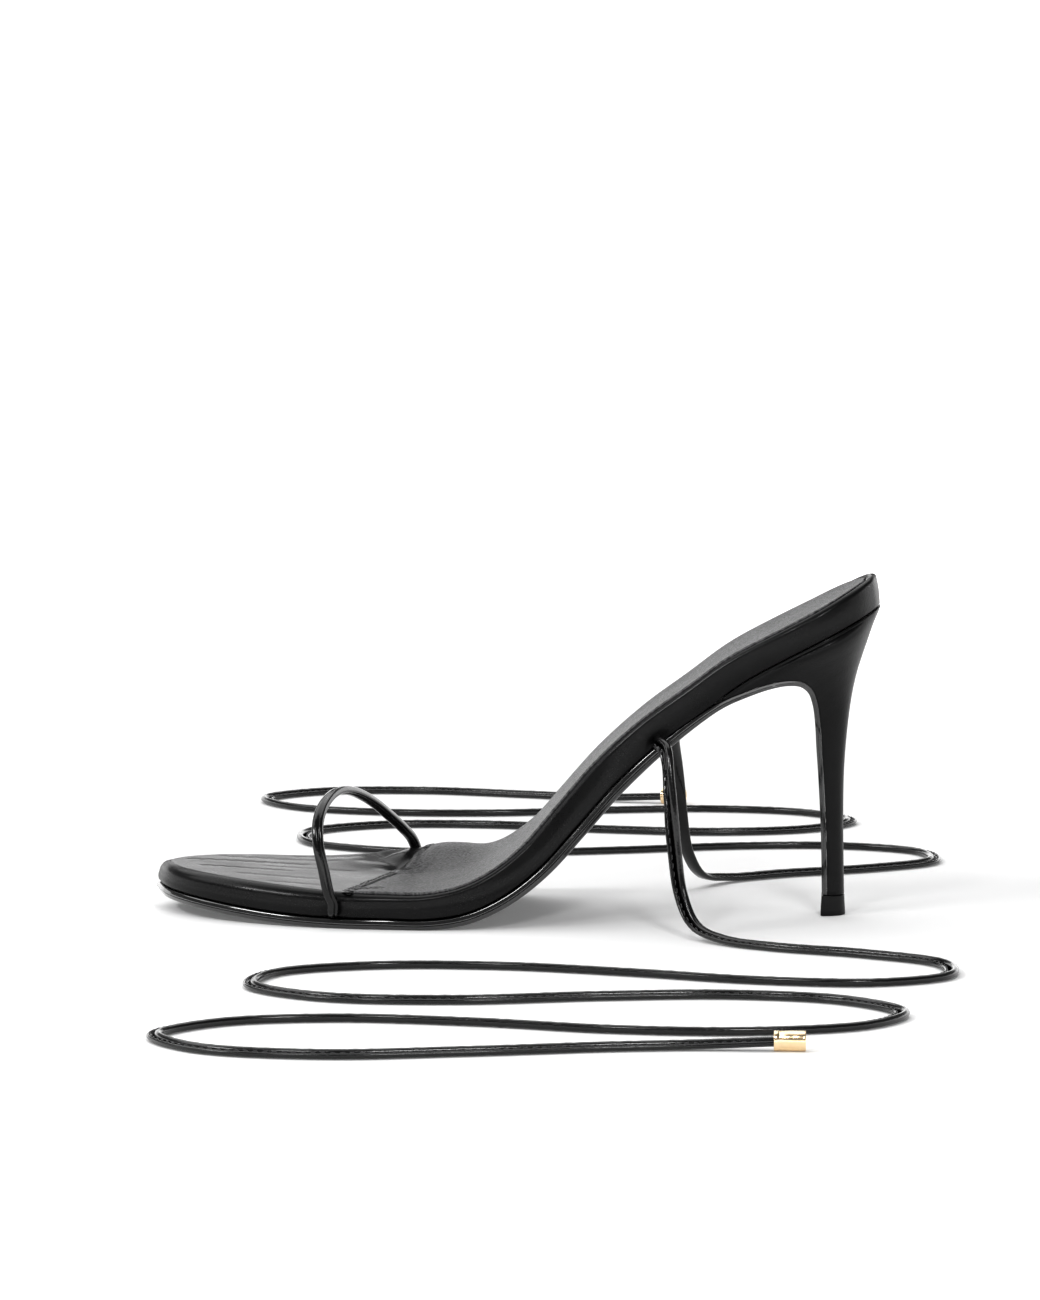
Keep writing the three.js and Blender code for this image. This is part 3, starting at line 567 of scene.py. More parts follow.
class Nodes:
    """A material's node tree, with short calls for the nodes that the leathers share."""

    def __init__(self, name, **sockets):
        self.material = bpy.data.materials.new(name)
        self.material.use_nodes = True
        self.tree = self.material.node_tree
        self.shader = self.tree.nodes["Principled BSDF"]
        for socket, value in sockets.items():
            self.shader.inputs[socket.replace("_", " ")].default_value = value

    def add(self, kind, **inputs):
        node = self.tree.nodes.new(kind)
        for socket, value in inputs.items():
            self.put(node.inputs[socket.replace("_", " ")], value)
        return node

    def put(self, socket, value):
        if isinstance(value, bpy.types.NodeSocket):
            self.tree.links.new(value, socket)
        else:
            socket.default_value = value

    def place(self, stretch=(1, 1, 1), shoe=False):
        """Places in millimetres, of the frame or of the shoe's own flat lengths."""
        if shoe:
            source = self.add("ShaderNodeAttribute")
            source.attribute_name = "shoe"
            vector, scale = source.outputs["Vector"], stretch
        else:
            vector = self.add("ShaderNodeTexCoord").outputs["Object"]
            scale = tuple(value / MM for value in stretch)
        return self.add("ShaderNodeMapping", Vector=vector, Scale=scale).outputs["Vector"]

    def noise(self, vector, scale, detail=2.0, roughness=0.5):
        node = self.add("ShaderNodeTexNoise", Vector=vector, Scale=scale)
        node.inputs["Detail"].default_value = detail
        node.inputs["Roughness"].default_value = roughness
        return node.outputs["Fac"]

    def cells(self, vector, scale):
        node = self.add("ShaderNodeTexVoronoi", Vector=vector, Scale=scale)
        node.feature = "SMOOTH_F1"
        return node.outputs["Distance"]

    def span(self, value, low, high, start=0.0, end=1.0):
        node = self.add("ShaderNodeMapRange", Value=value)
        node.inputs["From Min"].default_value = start
        node.inputs["From Max"].default_value = end
        node.inputs["To Min"].default_value = low
        node.inputs["To Max"].default_value = high
        return node.outputs["Result"]

    def math(self, operation, a, b):
        node = self.tree.nodes.new("ShaderNodeMath")
        node.operation = operation
        self.put(node.inputs[0], a)
        self.put(node.inputs[1], b)
        return node.outputs[0]

    def colour(self, share, low, high):
        node = self.tree.nodes.new("ShaderNodeMix")
        node.data_type = "RGBA"
        self.put(node.inputs[0], share)
        node.inputs[6].default_value = (*low, 1)
        node.inputs[7].default_value = (*high, 1)
        return node.outputs[2]

    def bump(self, height, distance, under=None):
        """Bump of a height that is 1 at its full distance, in millimetres."""
        node = self.add("ShaderNodeBump", Height=height)
        node.inputs["Strength"].default_value = 1.0
        node.inputs["Distance"].default_value = distance * MM
        if under is not None:
            self.put(node.inputs["Normal"], under)
        return node.outputs["Normal"]

    def surface(self, colour, roughness, normal):
        for name, value in (("Base Color", colour), ("Roughness", roughness), ("Normal", normal)):
            self.put(self.shader.inputs[name], value)
        return self.material


INK_BLACK = (0.002, 0.002, 0.0022)
INK_WORN = (0.0045, 0.0045, 0.0048)
# painted sheen: the light grey given to the raised grain of the black lining
RAISED_GRAIN_SHEEN = (0.09, 0.09, 0.093)
LEATHER_DARK = (0.0022, 0.0022, 0.0024)
LEATHER_LIGHT = (0.0038, 0.0038, 0.0041)
BAND_LIGHT = (0.004, 0.004, 0.0043)
HEEL_DARK = (0.0034, 0.0034, 0.0036)
HEEL_LIGHT = (0.0055, 0.0055, 0.0058)


def wrapped_leather(name, dark, light, rough, grain=0.035, wave=0.10, gloss=0.2, coat=0.14):
    """Smooth black leather: a fine grain, a slow unevenness and a slightly changing gloss."""
    nodes = Nodes(name, Specular_IOR_Level=gloss, Coat_Weight=coat, Coat_Roughness=0.11)
    place = nodes.place()
    slow = nodes.noise(place, 0.09, 3)
    pores = nodes.cells(place, 1.5)
    fine = nodes.noise(place, 2.6, 4, 0.6)
    colour = nodes.colour(nodes.span(slow, 0, 1, 0.3, 0.7), dark, light)
    rough_fine = nodes.span(fine, rough - 0.05, rough + 0.07, 0.25, 0.75)
    roughness = nodes.math("ADD", rough_fine, nodes.span(slow, -0.03, 0.03, 0.3, 0.7))
    normal = nodes.bump(slow, wave)
    normal = nodes.bump(pores, grain, normal)
    normal = nodes.bump(fine, grain * 0.7, normal)
    return nodes.surface(colour, roughness, normal)


def sock_leather():
    """Lining leather with a fine rice-like grain that runs across the shoe. Its raised grain is
    painted light grey, a painted sheen on the black leather.
    """
    nodes = Nodes("sock_leather", Specular_IOR_Level=0.6)
    place = nodes.place((0.85, 1.35, 0.0), shoe=True)
    warp = nodes.add("ShaderNodeTexNoise", Vector=place, Scale=0.35)
    shifted = nodes.add("ShaderNodeVectorMath")
    shifted.operation = "MULTIPLY_ADD"
    nodes.put(shifted.inputs[0], warp.outputs["Color"])
    nodes.put(shifted.inputs[1], (0.7, 0.7, 0.7))
    nodes.put(shifted.inputs[2], place)
    rice = nodes.cells(shifted.outputs["Vector"], 1.45)
    slow = nodes.noise(place, 0.07, 2)
    fine = nodes.noise(place, 3.5, 3)
    raised = nodes.span(rice, 1, 0, 0.15, 0.75)
    # painted sheen: the raised grain is coloured light grey and the hollows black
    colour = nodes.colour(raised, INK_BLACK, RAISED_GRAIN_SHEEN)
    roughness = nodes.math("ADD", nodes.span(raised, 0.46, 0.34), nodes.span(slow, -0.05, 0.05))
    normal = nodes.bump(raised, 0.24)
    normal = nodes.bump(fine, 0.02, normal)
    return nodes.surface(colour, roughness, normal)


def glossy_edge(name, rough, coat):
    """Inked and burnished sole edge."""
    nodes = Nodes(name, Coat_Weight=coat, Coat_Roughness=0.05, Coat_IOR=1.9, Specular_IOR_Level=0.3)
    place = nodes.place()
    slow = nodes.noise(place, 0.22, 3)
    fine = nodes.noise(place, 3.0, 3)
    colour = nodes.colour(slow, INK_BLACK, INK_WORN)
    roughness = nodes.span(fine, rough - 0.04, rough + 0.06, 0.25, 0.75)
    normal = nodes.bump(slow, 0.12)
    normal = nodes.bump(fine, 0.012, normal)
    return nodes.surface(colour, roughness, normal)


def gold_plating():
    nodes = Nodes("gold", Metallic=1.0)
    place = nodes.place()
    slow = nodes.noise(place, 0.5, 2)
    brushed = nodes.noise(place, 6.0, 2)
    colour = nodes.colour(slow, (0.86, 0.66, 0.41), (0.95, 0.79, 0.55))
    roughness = nodes.span(brushed, 0.14, 0.26, 0.3, 0.7)
    return nodes.surface(colour, roughness, nodes.bump(brushed, 0.006))


def thread():
    nodes = Nodes("thread", Sheen_Weight=0.3)
    place = nodes.place()
    strands = nodes.noise(place, 7.0, 2)
    colour = nodes.colour(strands, (0.012, 0.012, 0.013), (0.05, 0.05, 0.053))
    return nodes.surface(colour, nodes.span(strands, 0.5, 0.7), nodes.bump(strands, 0.03))


leather = wrapped_leather("leather", LEATHER_DARK, LEATHER_LIGHT, 0.3)
heel_leather = wrapped_leather("heel_leather", HEEL_DARK, HEEL_LIGHT, 0.32, coat=0.12)
band_leather = wrapped_leather(
    "band_leather", LEATHER_DARK, BAND_LIGHT, 0.19, grain=0.03, wave=0.03, gloss=0.4, coat=0.4
)
sock_material = sock_leather()
edge_material = glossy_edge("sole_edge", 0.2, 1.0)
tip_material = glossy_edge("heel_tip", 0.38, 0.0)
gold_material = gold_plating()
thread_material = thread()


def sweep(centres, tangents, faces_up, section):
    """Rings of a section along a line. Its first column lies along the face, its second across."""
    side = np.cross(tangents, faces_up)
    side /= np.linalg.norm(side, axis=1)[:, None]
    face = np.cross(side, tangents)
    section = np.broadcast_to(section, (len(centres), *section.shape))
    return (
        centres[:, None]
        + face[:, None] * section[..., :1]
        + side[:, None] * section[..., 1:]
    )


def tube_faces(rings, size):
    """Faces of a tube of rings with its two ends closed."""
    first = np.arange(size)
    after = (first + 1) % size
    faces = []
    for r in range(rings - 1):
        base = r * size
        faces += np.stack(
            [first + base, first + base + size, after + base + size, after + base], axis=1
        ).tolist()
    faces.append(first.tolist())
    faces.append((first[::-1] + (rings - 1) * size).tolist())
    return faces


def beside_edge(side, along, out, level):
    away = -1 if side == "outer" else 1
    across = away * (half_width(side, along) + out)
    return bend(last_curve, np.array([along]), np.array([across]), level)[0]


# The two ties: a folded band with a full round edge on one side and a stitched flat on the other
TIE_STEP = 1.9
ROUND_EDGE = TIE_THICKNESS / 2
FLAT_TOP = 0.38
STITCH_PITCH = 2.4
STITCH_LENGTH = 1.55
STITCH_RADIUS = 0.17
STITCH_ACROSS = 1.2
MOUTH_DEPTH = 1.6
HEM_RADIUS = 0.55
ROUND_POINTS = 17
RIPPLE = 0.05
LOWEST = 0.05


def tie_section():
    """Outline of a tie: the face's direction, then across. The round edge is at the near side."""
    points = []
    middle = -TIE_WIDTH / 2 + ROUND_EDGE
    for turn in np.linspace(-0.42, 1.38, ROUND_POINTS) * math.pi:
        points.append((ROUND_EDGE * math.sin(turn), middle - ROUND_EDGE * math.cos(turn)))
    for turn in np.linspace(0.5, -0.42, 8) * math.pi:
        across = TIE_WIDTH / 2 - HEM_RADIUS + HEM_RADIUS * math.cos(turn)
        height = FLAT_TOP - HEM_RADIUS + HEM_RADIUS * math.sin(turn)
        points.append((height, across))
    points.append((-TIE_THICKNESS / 2, TIE_WIDTH / 2 - 2 * HEM_RADIUS))
    return np.array(points)


def tie_line(side, laid):
    """Curve, centres, tangents and up directions of a tie, and where it leaves the seam."""
    wall_gap = TIE_THICKNESS / 2 + CLEARANCE
    lift = TIE_THICKNESS / 2
    start = [
        beside_edge(side, TIE_ALONG, -SEAT_DEPTH, lift),
        beside_edge(side, TIE_ALONG, -SEAT_DEPTH / 3, lift),
        beside_edge(side, TIE_ALONG, wall_gap, lift * 1.2),
    ]
    curve = LongCurve(np.vstack([start, np.array(laid, float)]))
    shortened = np.linspace(0, 1, int(curve.length / TIE_STEP))
    distance = curve.length * shortened * (1 - 0.7 * np.exp(-14 * shortened))
    centres, tangents, _ = curve.at(distance)
    tangent = last_curve.at(np.array([TIE_ALONG]))[1][0]
    seam_up = np.array([-tangent[1], 0, tangent[0]])
    share = ease(distance / curve.length / 0.05)[:, None]
    ups = mix(seam_up, np.array([0, 0, 1.0]), share)
    return curve, centres, tangents, ups, to_frame(start[1])


def stitches(name, centres, tangents, ups, start, end):
    """Raised thread stitches along the flat side of a band, each dipping in at both ends."""
    lengths = np.concatenate(
        [[0], np.cumsum(np.linalg.norm(np.diff(centres, axis=0), axis=1))]
    )
    along = np.linspace(-1, 1, 7)
    height = np.sqrt(np.maximum(1 - np.abs(along) ** 2.6, 0.0)) * 1.15 - 0.75
    thick = 0.45 + 0.55 * np.sqrt(np.maximum(1 - along**2, 0))
    turns = np.arange(6) / 6 * 2 * math.pi
    points, faces = [], []
    for place in np.arange(start, min(end, lengths[-1]), STITCH_PITCH):
        reach = place + along * STITCH_LENGTH / 2
        middle, tangent, up = (
            np.stack([np.interp(reach, lengths, column) for column in values.T], axis=1)
            for values in (centres, tangents, ups)
        )
        side = np.cross(tangent, up)
        side /= np.linalg.norm(side, axis=1)[:, None]
        face = np.cross(side, tangent)
        face /= np.linalg.norm(face, axis=1)[:, None]
        slant = (along * 0.12)[:, None]
        core = (
            middle
            + side * (STITCH_ACROSS + slant)
            + face * (FLAT_TOP + height * STITCH_RADIUS)[:, None]
        )
        ring = np.stack([np.cos(turns), np.sin(turns)], axis=1) * STITCH_RADIUS
        rings = core[:, None] + thick[:, None, None] * (
            side[:, None] * ring[None, :, :1] + face[:, None] * ring[None, :, 1:]
        )
        base = len(points) * len(along) * len(turns)
        points.append(rings.reshape(-1, 3))
        faces += [[index + base for index in face] for face in tube_faces(len(along), len(turns))]
    return new_mesh(name, to_frame(np.vstack(points)), faces, thread_material)


def lathe(profile, sides, centre, axis):
    """A turned shape from (radius, height) rows, with its heights along axis."""
    axis = np.asarray(axis) / np.linalg.norm(axis)
    aside = np.cross(axis, (0, 0, 1.0))
    aside /= np.linalg.norm(aside)
    other = np.cross(axis, aside)
    turns = np.arange(sides) / sides * 2 * math.pi
    spokes = np.cos(turns)[:, None] * aside + np.sin(turns)[:, None] * other
    rings = [centre + axis * height + radius * spokes for radius, height in profile]
    return np.vstack(rings), tube_faces(len(profile), sides)


def tie_tip(name, curve, node):
    """A hollow gold barrel, open towards its tie and closed by a rimmed face at its end."""
    end, heading = curve.points[-1], curve.tangents[-1] * (1, 1, 0)
    heading /= np.linalg.norm(heading)
    centre = end + heading * (TIE_TIP_LENGTH / 2 + CLEARANCE)
    centre[2] = TIE_TIP_RADIUS
    half, radius = TIE_TIP_LENGTH / 2, TIE_TIP_RADIUS
    wall, rim = 0.3, 0.22
    profile = [
        (0.05, -half + MOUTH_DEPTH),
        (radius - wall - 0.1, -half + MOUTH_DEPTH),
        (radius - wall, -half + MOUTH_DEPTH - 0.1),
        (radius - wall, -half + 0.12),
        (radius - wall + 0.08, -half),
        (radius - 0.1, -half),
        (radius - 0.02, -half + 0.08),
        (radius, -half + 0.2),
        (radius, -half + 1.2),
        (radius - 0.12, -half + 1.28),
        (radius - 0.12, -half + 1.45),
        (radius, -half + 1.53),
        (radius, half - 0.75),
        (radius, half - rim),
        (radius - rim * 0.3, half - rim * 0.3),
        (radius - rim, half),
        (radius - rim * 2, half),
        (radius - rim * 2.6, half - 0.2),
        (radius - rim * 3.4, half - 0.22),
        (0.05, half - 0.22),
    ]
    points, faces = lathe(profile, 64, centre, heading)
    piece = new_mesh(name, to_frame(points), faces, gold_material)
    stand_for(node)
    return piece


def tie(name, side, laid):
    curve, centres, tangents, ups, leaving = tie_line(side, laid)
    heading = curve.tangents[-1]
    into_tip = centres[-1] + heading * np.array([[0.7], [MOUTH_DEPTH + CLEARANCE - 0.15]])
    centres = np.vstack([centres, into_tip])
    tangents = np.vstack([tangents, heading, heading])
    ups = np.vstack([ups, ups[-1], ups[-1]])
    section = tie_section()
    rings = sweep(centres, tangents, ups, section)
    ripple = np.linspace(0, 1, len(centres))
    rings[:, :ROUND_POINTS] += (
        RIPPLE
        * np.sin(ripple * curve.length * 1.9)[:, None, None]
        * np.sin(ripple * curve.length * 0.23)[:, None, None]
        * ups[:, None]
    )
    rings[..., 2] = np.maximum(rings[..., 2], LOWEST)
    faces = tube_faces(len(rings), len(section))
    piece = new_mesh(name + "_band", to_frame(rings.reshape(-1, 3)), faces, band_leather)
    stand_for(name)
    lines = stitches(name + "_stitches", centres, tangents, ups, 9, curve.length - 3)
    tip = tie_tip(name + "_barrel", curve, name + "_tip")
    path = to_frame(centres)
    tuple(leaving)


tie("outer_tie", "outer", OUTER_TIE)
tie("inner_tie", "inner", INNER_TIE)


# Footbed: padded wall with a soft top edge, creased top, and pressed in where a band goes under it
FOOTBED_STATIONS = 330
FOOTBED_LANES = 64
PRESSED = [
    ("outer", STRAP_OUTER),
    ("inner", STRAP_INNER),
    ("outer", TIE_ALONG),
    ("inner", TIE_ALONG),
]
PRESSED_DEPTH = 0.9
PRESSED_REACH = 3.2
PRESSED_HEIGHT = 4.5
WALL_SWELL = 0.22


def pressed(flat, height):
    """How far the wall gives way beside the bands, most at its foot."""
    total = np.zeros(len(flat))
    for side, along in PRESSED:
        here = (flat[:, 1] < 0) if side == "outer" else (flat[:, 1] > 0)
        total += here * np.exp(-(((flat[:, 0] - along) / PRESSED_REACH) ** 2))
    return total * PRESSED_DEPTH * (1 - ease(height / PRESSED_HEIGHT))


def build_footbed():
    stations, lanes = FOOTBED_STATIONS, FOOTBED_LANES
    sides = [side_of(outline, side, stations) for side in ("outer", "inner")]
    ring = flat_ring(*sides, lanes)
    foot = WAIST_EDGE_RADIUS / 3
    radius = edge_radius(ring)
    top = footbed_top(ring)
    rings, levels = [], []

    def add(flat, level):
        rings.append(flat)
        levels.append(level)

    for turn in np.linspace(0, math.pi / 2, 5):
        height = foot * (1 - math.cos(turn))
        step = foot * 2 * (1 - math.sin(turn)) + pressed(ring, height)
        add(inset(ring, step), lambda flat, height=height: np.full(len(flat), height))
    for share in np.linspace(0, 1, 9)[1:-1]:
        height = mix(foot, top - radius, share)
        swell = WALL_SWELL * math.sin(share * math.pi)
        add(
            inset(ring, pressed(ring, height) - swell),
            lambda flat, height=height: height,
        )
    for turn in np.linspace(0, math.pi / 2, 10):
        inward = inset(ring, radius * (1 - math.cos(turn)))
        drop = radius * (1 - math.sin(turn))
        settle = math.sin(turn) ** 4
        add(
            inward,
            lambda flat, drop=drop, settle=settle: footbed_top(ring) - drop
            + settle * crease_level(flat),
        )
    levels[-1] = lambda flat: footbed_top(flat) + crease_level(flat)
    points, faces, shoe = layer(last_curve, rings, levels, stations, lanes, shift=back_shift)
    piece = new_mesh("footbed_cover", points, faces, leather, shoe)
    stand_for("footbed")


SOCK_SUNK = 0.5  # how much lower the glued lining lies than its solid
SOCK_SKIVED = 0.42  # how much thinner its front edge is
SOCK_SKIVE = 9  # over this length
SOCK_BACK_MARGIN = 1.2
SOCK_BACK_FROM = 0.94
SOCK_BACK_OVER = 0.05


def build_sock():
    stations, lanes = 300, 72
    front = np.searchsorted(outline_sides["outer"][:, 0], SOCK_FRONT) / SIDE_SAMPLES
    inner_front = (
        np.searchsorted(outline_sides["outer"][:, 0], SOCK_FRONT + SOCK_SLANT) / SIDE_SAMPLES
    )
    ring = flat_ring(
        side_of(outline, "outer", stations, front),
        side_of(outline, "inner", stations, inner_front),
        lanes,
    )
    seat_end = ease((ring[:, 0] / last_curve.length - SOCK_BACK_FROM) / SOCK_BACK_OVER)
    ring = inset(ring, SOCK_MARGIN + SOCK_BACK_MARGIN * seat_end)
    rings, levels = [], []

    def surface(drop):
        def level(flat):
            share = (flat[:, 1] + BALL_HALF) / BALL_WIDTH
            from_front = flat[:, 0] - mix(SOCK_FRONT, SOCK_FRONT + SOCK_SLANT, share)
            thinned = SOCK_SKIVED * (1 - ease(from_front / SOCK_SKIVE)) * (1 - drop / under)
            lying = SOCK_GAP + SOCK_THICKNESS - SOCK_SUNK
            return footbed_top(flat) + lying - drop - thinned + crease_level(flat)

        return level

    under = SOCK_THICKNESS + SOCK_GAP * 0.5
    for drop, inward in [
        (under, 0.55),
        (under - 0.12, 0.12),
        (SOCK_THICKNESS * 0.62, 0.0),
        (SOCK_THICKNESS * 0.4, 0.05),
        (SOCK_THICKNESS * 0.2, 0.2),
        (SOCK_THICKNESS * 0.06, 0.45),
        (0.0, 0.85),
    ]:
        rings.append(inset(ring, np.full(len(ring), inward)))
        levels.append(surface(drop))
    points, faces, shoe = layer(last_curve, rings, levels, stations, lanes, shift=back_shift)
    piece = new_mesh("sock_lining", points, faces, sock_material, shoe)
    stand_for("sock")


FLAP_CLOSED = 0.85  # share of the gap that is closed where the flap is glued to the heel
OUT_WEIGHT = 10  # evens out depth and out, so that the curve through the rows is calm


def build_outsole():
    stations, lanes = 420, 24
    leaving = sole_curve.length_at_row(LAST_ROWS_BEFORE_HEEL)
    keep = outline["along"] < leaving - SEAT_DEPTH
    flap_along = sole_curve.length_at_row(LAST_ROWS_BEFORE_HEEL + np.arange(len(HEEL["half"])))
    flap_half = HEEL["half"] * SEAT_HALF
    rows = {
        "along": np.concatenate([outline["along"][keep], flap_along]),
        "outer": np.concatenate([outline["outer"][keep], -flap_half]),
        "inner": np.concatenate([outline["inner"][keep], flap_half]),
    }
    ring = flat_ring(side_of(rows, "outer", stations), side_of(rows, "inner", stations), lanes)
    breast = sole_curve.length_at_row(LAST_ROWS_BEFORE_HEEL + 3)
    waist_start = sole_curve.length_at_row(WAIST_START_ROW)
    waist_full = sole_curve.length_at_row(WAIST_FULL_ROW)
    thinning = sole_curve.length_at_row(LAST_ROWS_BEFORE_HEEL - 3)

    def flap_share(flat):
        return ease((flat[:, 0] - thinning) / (breast - thinning))

    def thickness(flat):
        climb = ease((flat[:, 0] - waist_start) / (waist_full - waist_start))
        plate = mix(OUTSOLE_THICKNESS, WAIST_SOLE_THICKNESS, climb)
        return mix(plate, FLAP_THICKNESS + CLEARANCE, flap_share(flat))

    side = catmull(
        np.stack([OUTSOLE_SIDE["depth"], OUTSOLE_SIDE["out"] / OUT_WEIGHT], axis=1),
        np.linspace(0, 1, 37),
    )
    rings, levels = [], []
    for depth, out in side:
        offset = -out * OUT_WEIGHT * BEAD_PROUD * (1 - 0.9 * flap_share(ring))
        rings.append(inset(ring, offset))
        levels.append(
            lambda flat, depth=depth: -CLEARANCE * (1 - FLAP_CLOSED * flap_share(flat))
            - depth * (thickness(flat) - CLEARANCE)
        )

    def on_floor(points):
        points[:, 2] = np.maximum(points[:, 2], 0)
        return points

    points, faces, shoe = layer(sole_curve, rings, levels, stations, lanes, lift=on_floor)
    piece = new_mesh("outsole_edge", points, faces, edge_material, shoe)
    stand_for("outsole")


HEEL_TURN = math.pi * 0.47


def heel_ring(front, back, half, seat, tongue, stations, lanes):
    """One heel section: outer side, back edge, inner side forward, front edge."""
    turn = np.linspace(0, 1, stations + 1) * HEEL_TURN
    share = np.sin(turn) / math.sin(HEEL_TURN)
    along = mix(tongue, last_curve.length, share)
    seam = bend(last_curve, along, np.zeros(len(along)), -CLEARANCE)
    chord = mix(seam[0], seam[-1], share[:, None])
    front_half = half_width("outer", tongue)
    seat_like = half_width("outer", along) * half / front_half
    round_half = half * np.cos(turn) ** 0.85
    x = mix(front[0], back[0], share) + seat * (seam[:, 0] - chord[:, 0])
    z = mix(front[1], back[1], share) + seat * (seam[:, 2] - chord[:, 2])
    width = mix(round_half, seat_like, seat)
    outer = np.stack([x, -width, z], axis=1)
    inner = outer * (1, -1, 1)
    between = (np.arange(1, lanes) / lanes)[:, None]
    return np.vstack(
        [outer, mix(outer[-1], inner[-1], between), inner[::-1], mix(inner[0], outer[0], between)]
    )


def stack_points(rings, stations, lanes):
    caps = [between_sides(rings[end], stations, lanes) for end in (0, -1)]
    return np.vstack([*rings, *caps])


def build_heel():
    stations, lanes, finer = 48, 16, 7
    tongue = np.interp(heel_fronts[0, 0], last_curve.points[:, 0], last_curve.lengths)
    count = len(HEEL["half"])
    rows = np.linspace(0, count - 1, (count - 1) * finer + 1)
    fronts = sole_curve.at(sole_curve.length_at_row(LAST_ROWS_BEFORE_HEEL + rows))[0]
    table = np.column_stack([heel_backs, HEEL["half"] * SEAT_HALF, HEEL["seat"]])
    smooth = even_catmull(table, rows / (count - 1))
    seam_front = bend(last_curve, np.array([tongue]), np.array([0.0]), -CLEARANCE)[0]
    seam_back = bend(
        last_curve, np.array([last_curve.length]), np.array([0.0]), -CLEARANCE
    )[0]
    seat_half = float(half_width("outer", tongue))
    rings = [
        heel_ring(seam_front[[0, 2]], seam_back[[0, 2]], seat_half, 1, tongue, stations, lanes)
    ]
    for front, (back_x, back_z, half, seat) in zip(fronts, smooth):
        seat = float(np.clip(seat, 0, 1))
        rings.append(heel_ring(front, (back_x, back_z), half, seat, tongue, stations, lanes))
    foot = rings[-1].copy()
    foot[:, :2] = mix(foot[:, :2].mean(axis=0), foot[:, :2], 0.96)
    foot[:, 2] -= 0.12
    rings.append(foot)
    rings.reverse()
    points = to_frame(stack_points(rings, stations, lanes))
    faces = stack_faces(len(rings), len(rings[0]), stations, lanes)
    piece = new_mesh("heel_cover", points, faces, heel_leather)
    stand_for("heel")


def build_heel_tip():
    stations, lanes = 40, 12
    front_x = heel_fronts[-1, 0] - FLAP_THICKNESS
    back_x = heel_backs[-1, 0]
    rings = []
    for height, proud in [
        (0.0, -0.12),
        (0.1, 0.15),
        (0.35, HEEL_TIP_PROUD),
        (1.6, HEEL_TIP_PROUD * 0.8),
        (3.6, HEEL_TIP_PROUD * 0.4),
        (HEEL_TIP_HEIGHT - 0.5, HEEL_TIP_PROUD * 0.2),
        (HEEL_TIP_HEIGHT - 0.15, 0.0),
        (HEEL_TIP_HEIGHT, -0.25),
    ]:
        rings.append(
            heel_ring(
                (front_x - proud, height), (back_x + proud, height), COLUMN_HALF + proud, 0, 0,
                stations, lanes,
            )
        )
    points = to_frame(stack_points(rings, stations, lanes))
    faces = stack_faces(len(rings), len(rings[0]), stations, lanes)
    piece = new_mesh("heel_tip_block", points, faces, tip_material)
    stand_for("heel_tip")


# Toe strap: leather folded into two rolls side by side, with a groove between them
STRAP_SIDES = 80
STRAP_STEPS = 200
FREE_FROM = 0.16
STRAP_ROUNDING = 0.62
GROOVE_ACROSS = 0.42
GROOVE_HALF = 0.22
GROOVE_SHARE = 0.6


def round_off(value):
    return np.sign(value) * np.abs(value) ** STRAP_ROUNDING


def strap_section():
    """The strap's outline: its thickness first, then its width. The rear roll is the narrower."""
    turn = np.arange(STRAP_SIDES) / STRAP_SIDES * 2 * math.pi
    across = round_off(np.sin(turn)) * STRAP_WIDTH / 2
    thick = round_off(np.cos(turn)) * STRAP_THICKNESS / 2
    groove = np.exp(-(((across - GROOVE_ACROSS) / GROOVE_HALF) ** 2))
    return np.stack([thick * (1 - GROOVE_SHARE * groove), across], axis=1)


def build_strap():
    wall_gap = STRAP_THICKNESS / 2 + CLEARANCE + 0.15

    def anchor(side, along):
        return np.array(
            [
                beside_edge(side, along, -SEAT_DEPTH, STRAP_THICKNESS / 2),
                beside_edge(side, along, -SEAT_DEPTH / 3, STRAP_THICKNESS / 2),
                beside_edge(side, along, wall_gap * 0.8, STRAP_THICKNESS * 0.8),
                beside_edge(side, along, wall_gap, STRAP_THICKNESS * 1.9),
            ]
        )

    outer_end, inner_end = anchor("outer", STRAP_OUTER), anchor("inner", STRAP_INNER)
    start, end = outer_end[3], inner_end[3]
    outer_top = beside_edge("outer", STRAP_OUTER, 0, 0)[2] + FOOTBED_THICKNESS
    inner_top = beside_edge("inner", STRAP_INNER, 0, 0)[2] + FOOTBED_THICKNESS + ARCH_RAISE / 2
    across = STRAP["across"]
    middle = np.stack(
        [
            mix(start[0], end[0], across) - STRAP["lean"] * STRAP_LEAN,
            mix(start[1], end[1], across),
            mix(outer_top, inner_top, across) + STRAP["rise"] * STRAP_RISE,
        ],
        axis=1,
    )
    curve = LongCurve(np.vstack([outer_end, middle, inner_end[::-1]]))
    centres, tangents, _ = curve.at(np.linspace(0, curve.length, STRAP_STEPS + 1))
    share = np.linspace(0, 1, STRAP_STEPS + 1)
    free = ease((share - FREE_FROM / 2) / FREE_FROM) * ease((1 - FREE_FROM / 2 - share) / FREE_FROM)
    lengthwise = np.stack([np.full(len(share), STRAP_RISE), 0 * share, STRAP_LEAN * free], axis=1)
    ups = np.cross(lengthwise, tangents)
    rings = sweep(centres, tangents, ups, strap_section())
    faces = tube_faces(len(rings), STRAP_SIDES)
    piece = new_mesh("toe_strap_band", to_frame(rings.reshape(-1, 3)), faces, band_leather)
    stand_for("toe_strap")


build_footbed()
build_sock()
build_outsole()
build_heel()
build_heel_tip()
build_strap()


# Round floor that turns up into a low lit rim, light and surroundings
RIM_GLOW = 1.1
NEAR_GLOW = 0.14  # lifts the soft shadows
FAR_GLOW = 0.6
GLOW_FROM_TO = (0.3, 1.0)
FLOOR_WHITE = 0.76
WORLD_WHITE = 0.22
DISPLAY_GAMMA = 0.8  # darkens all that is below white
FLOOR_RADIUS = 2.6
RIM_RADIUS = 0.5
RIM_HEIGHT = 0.85
FLOOR_SEGMENTS = 96
RIM_STEPS = 10


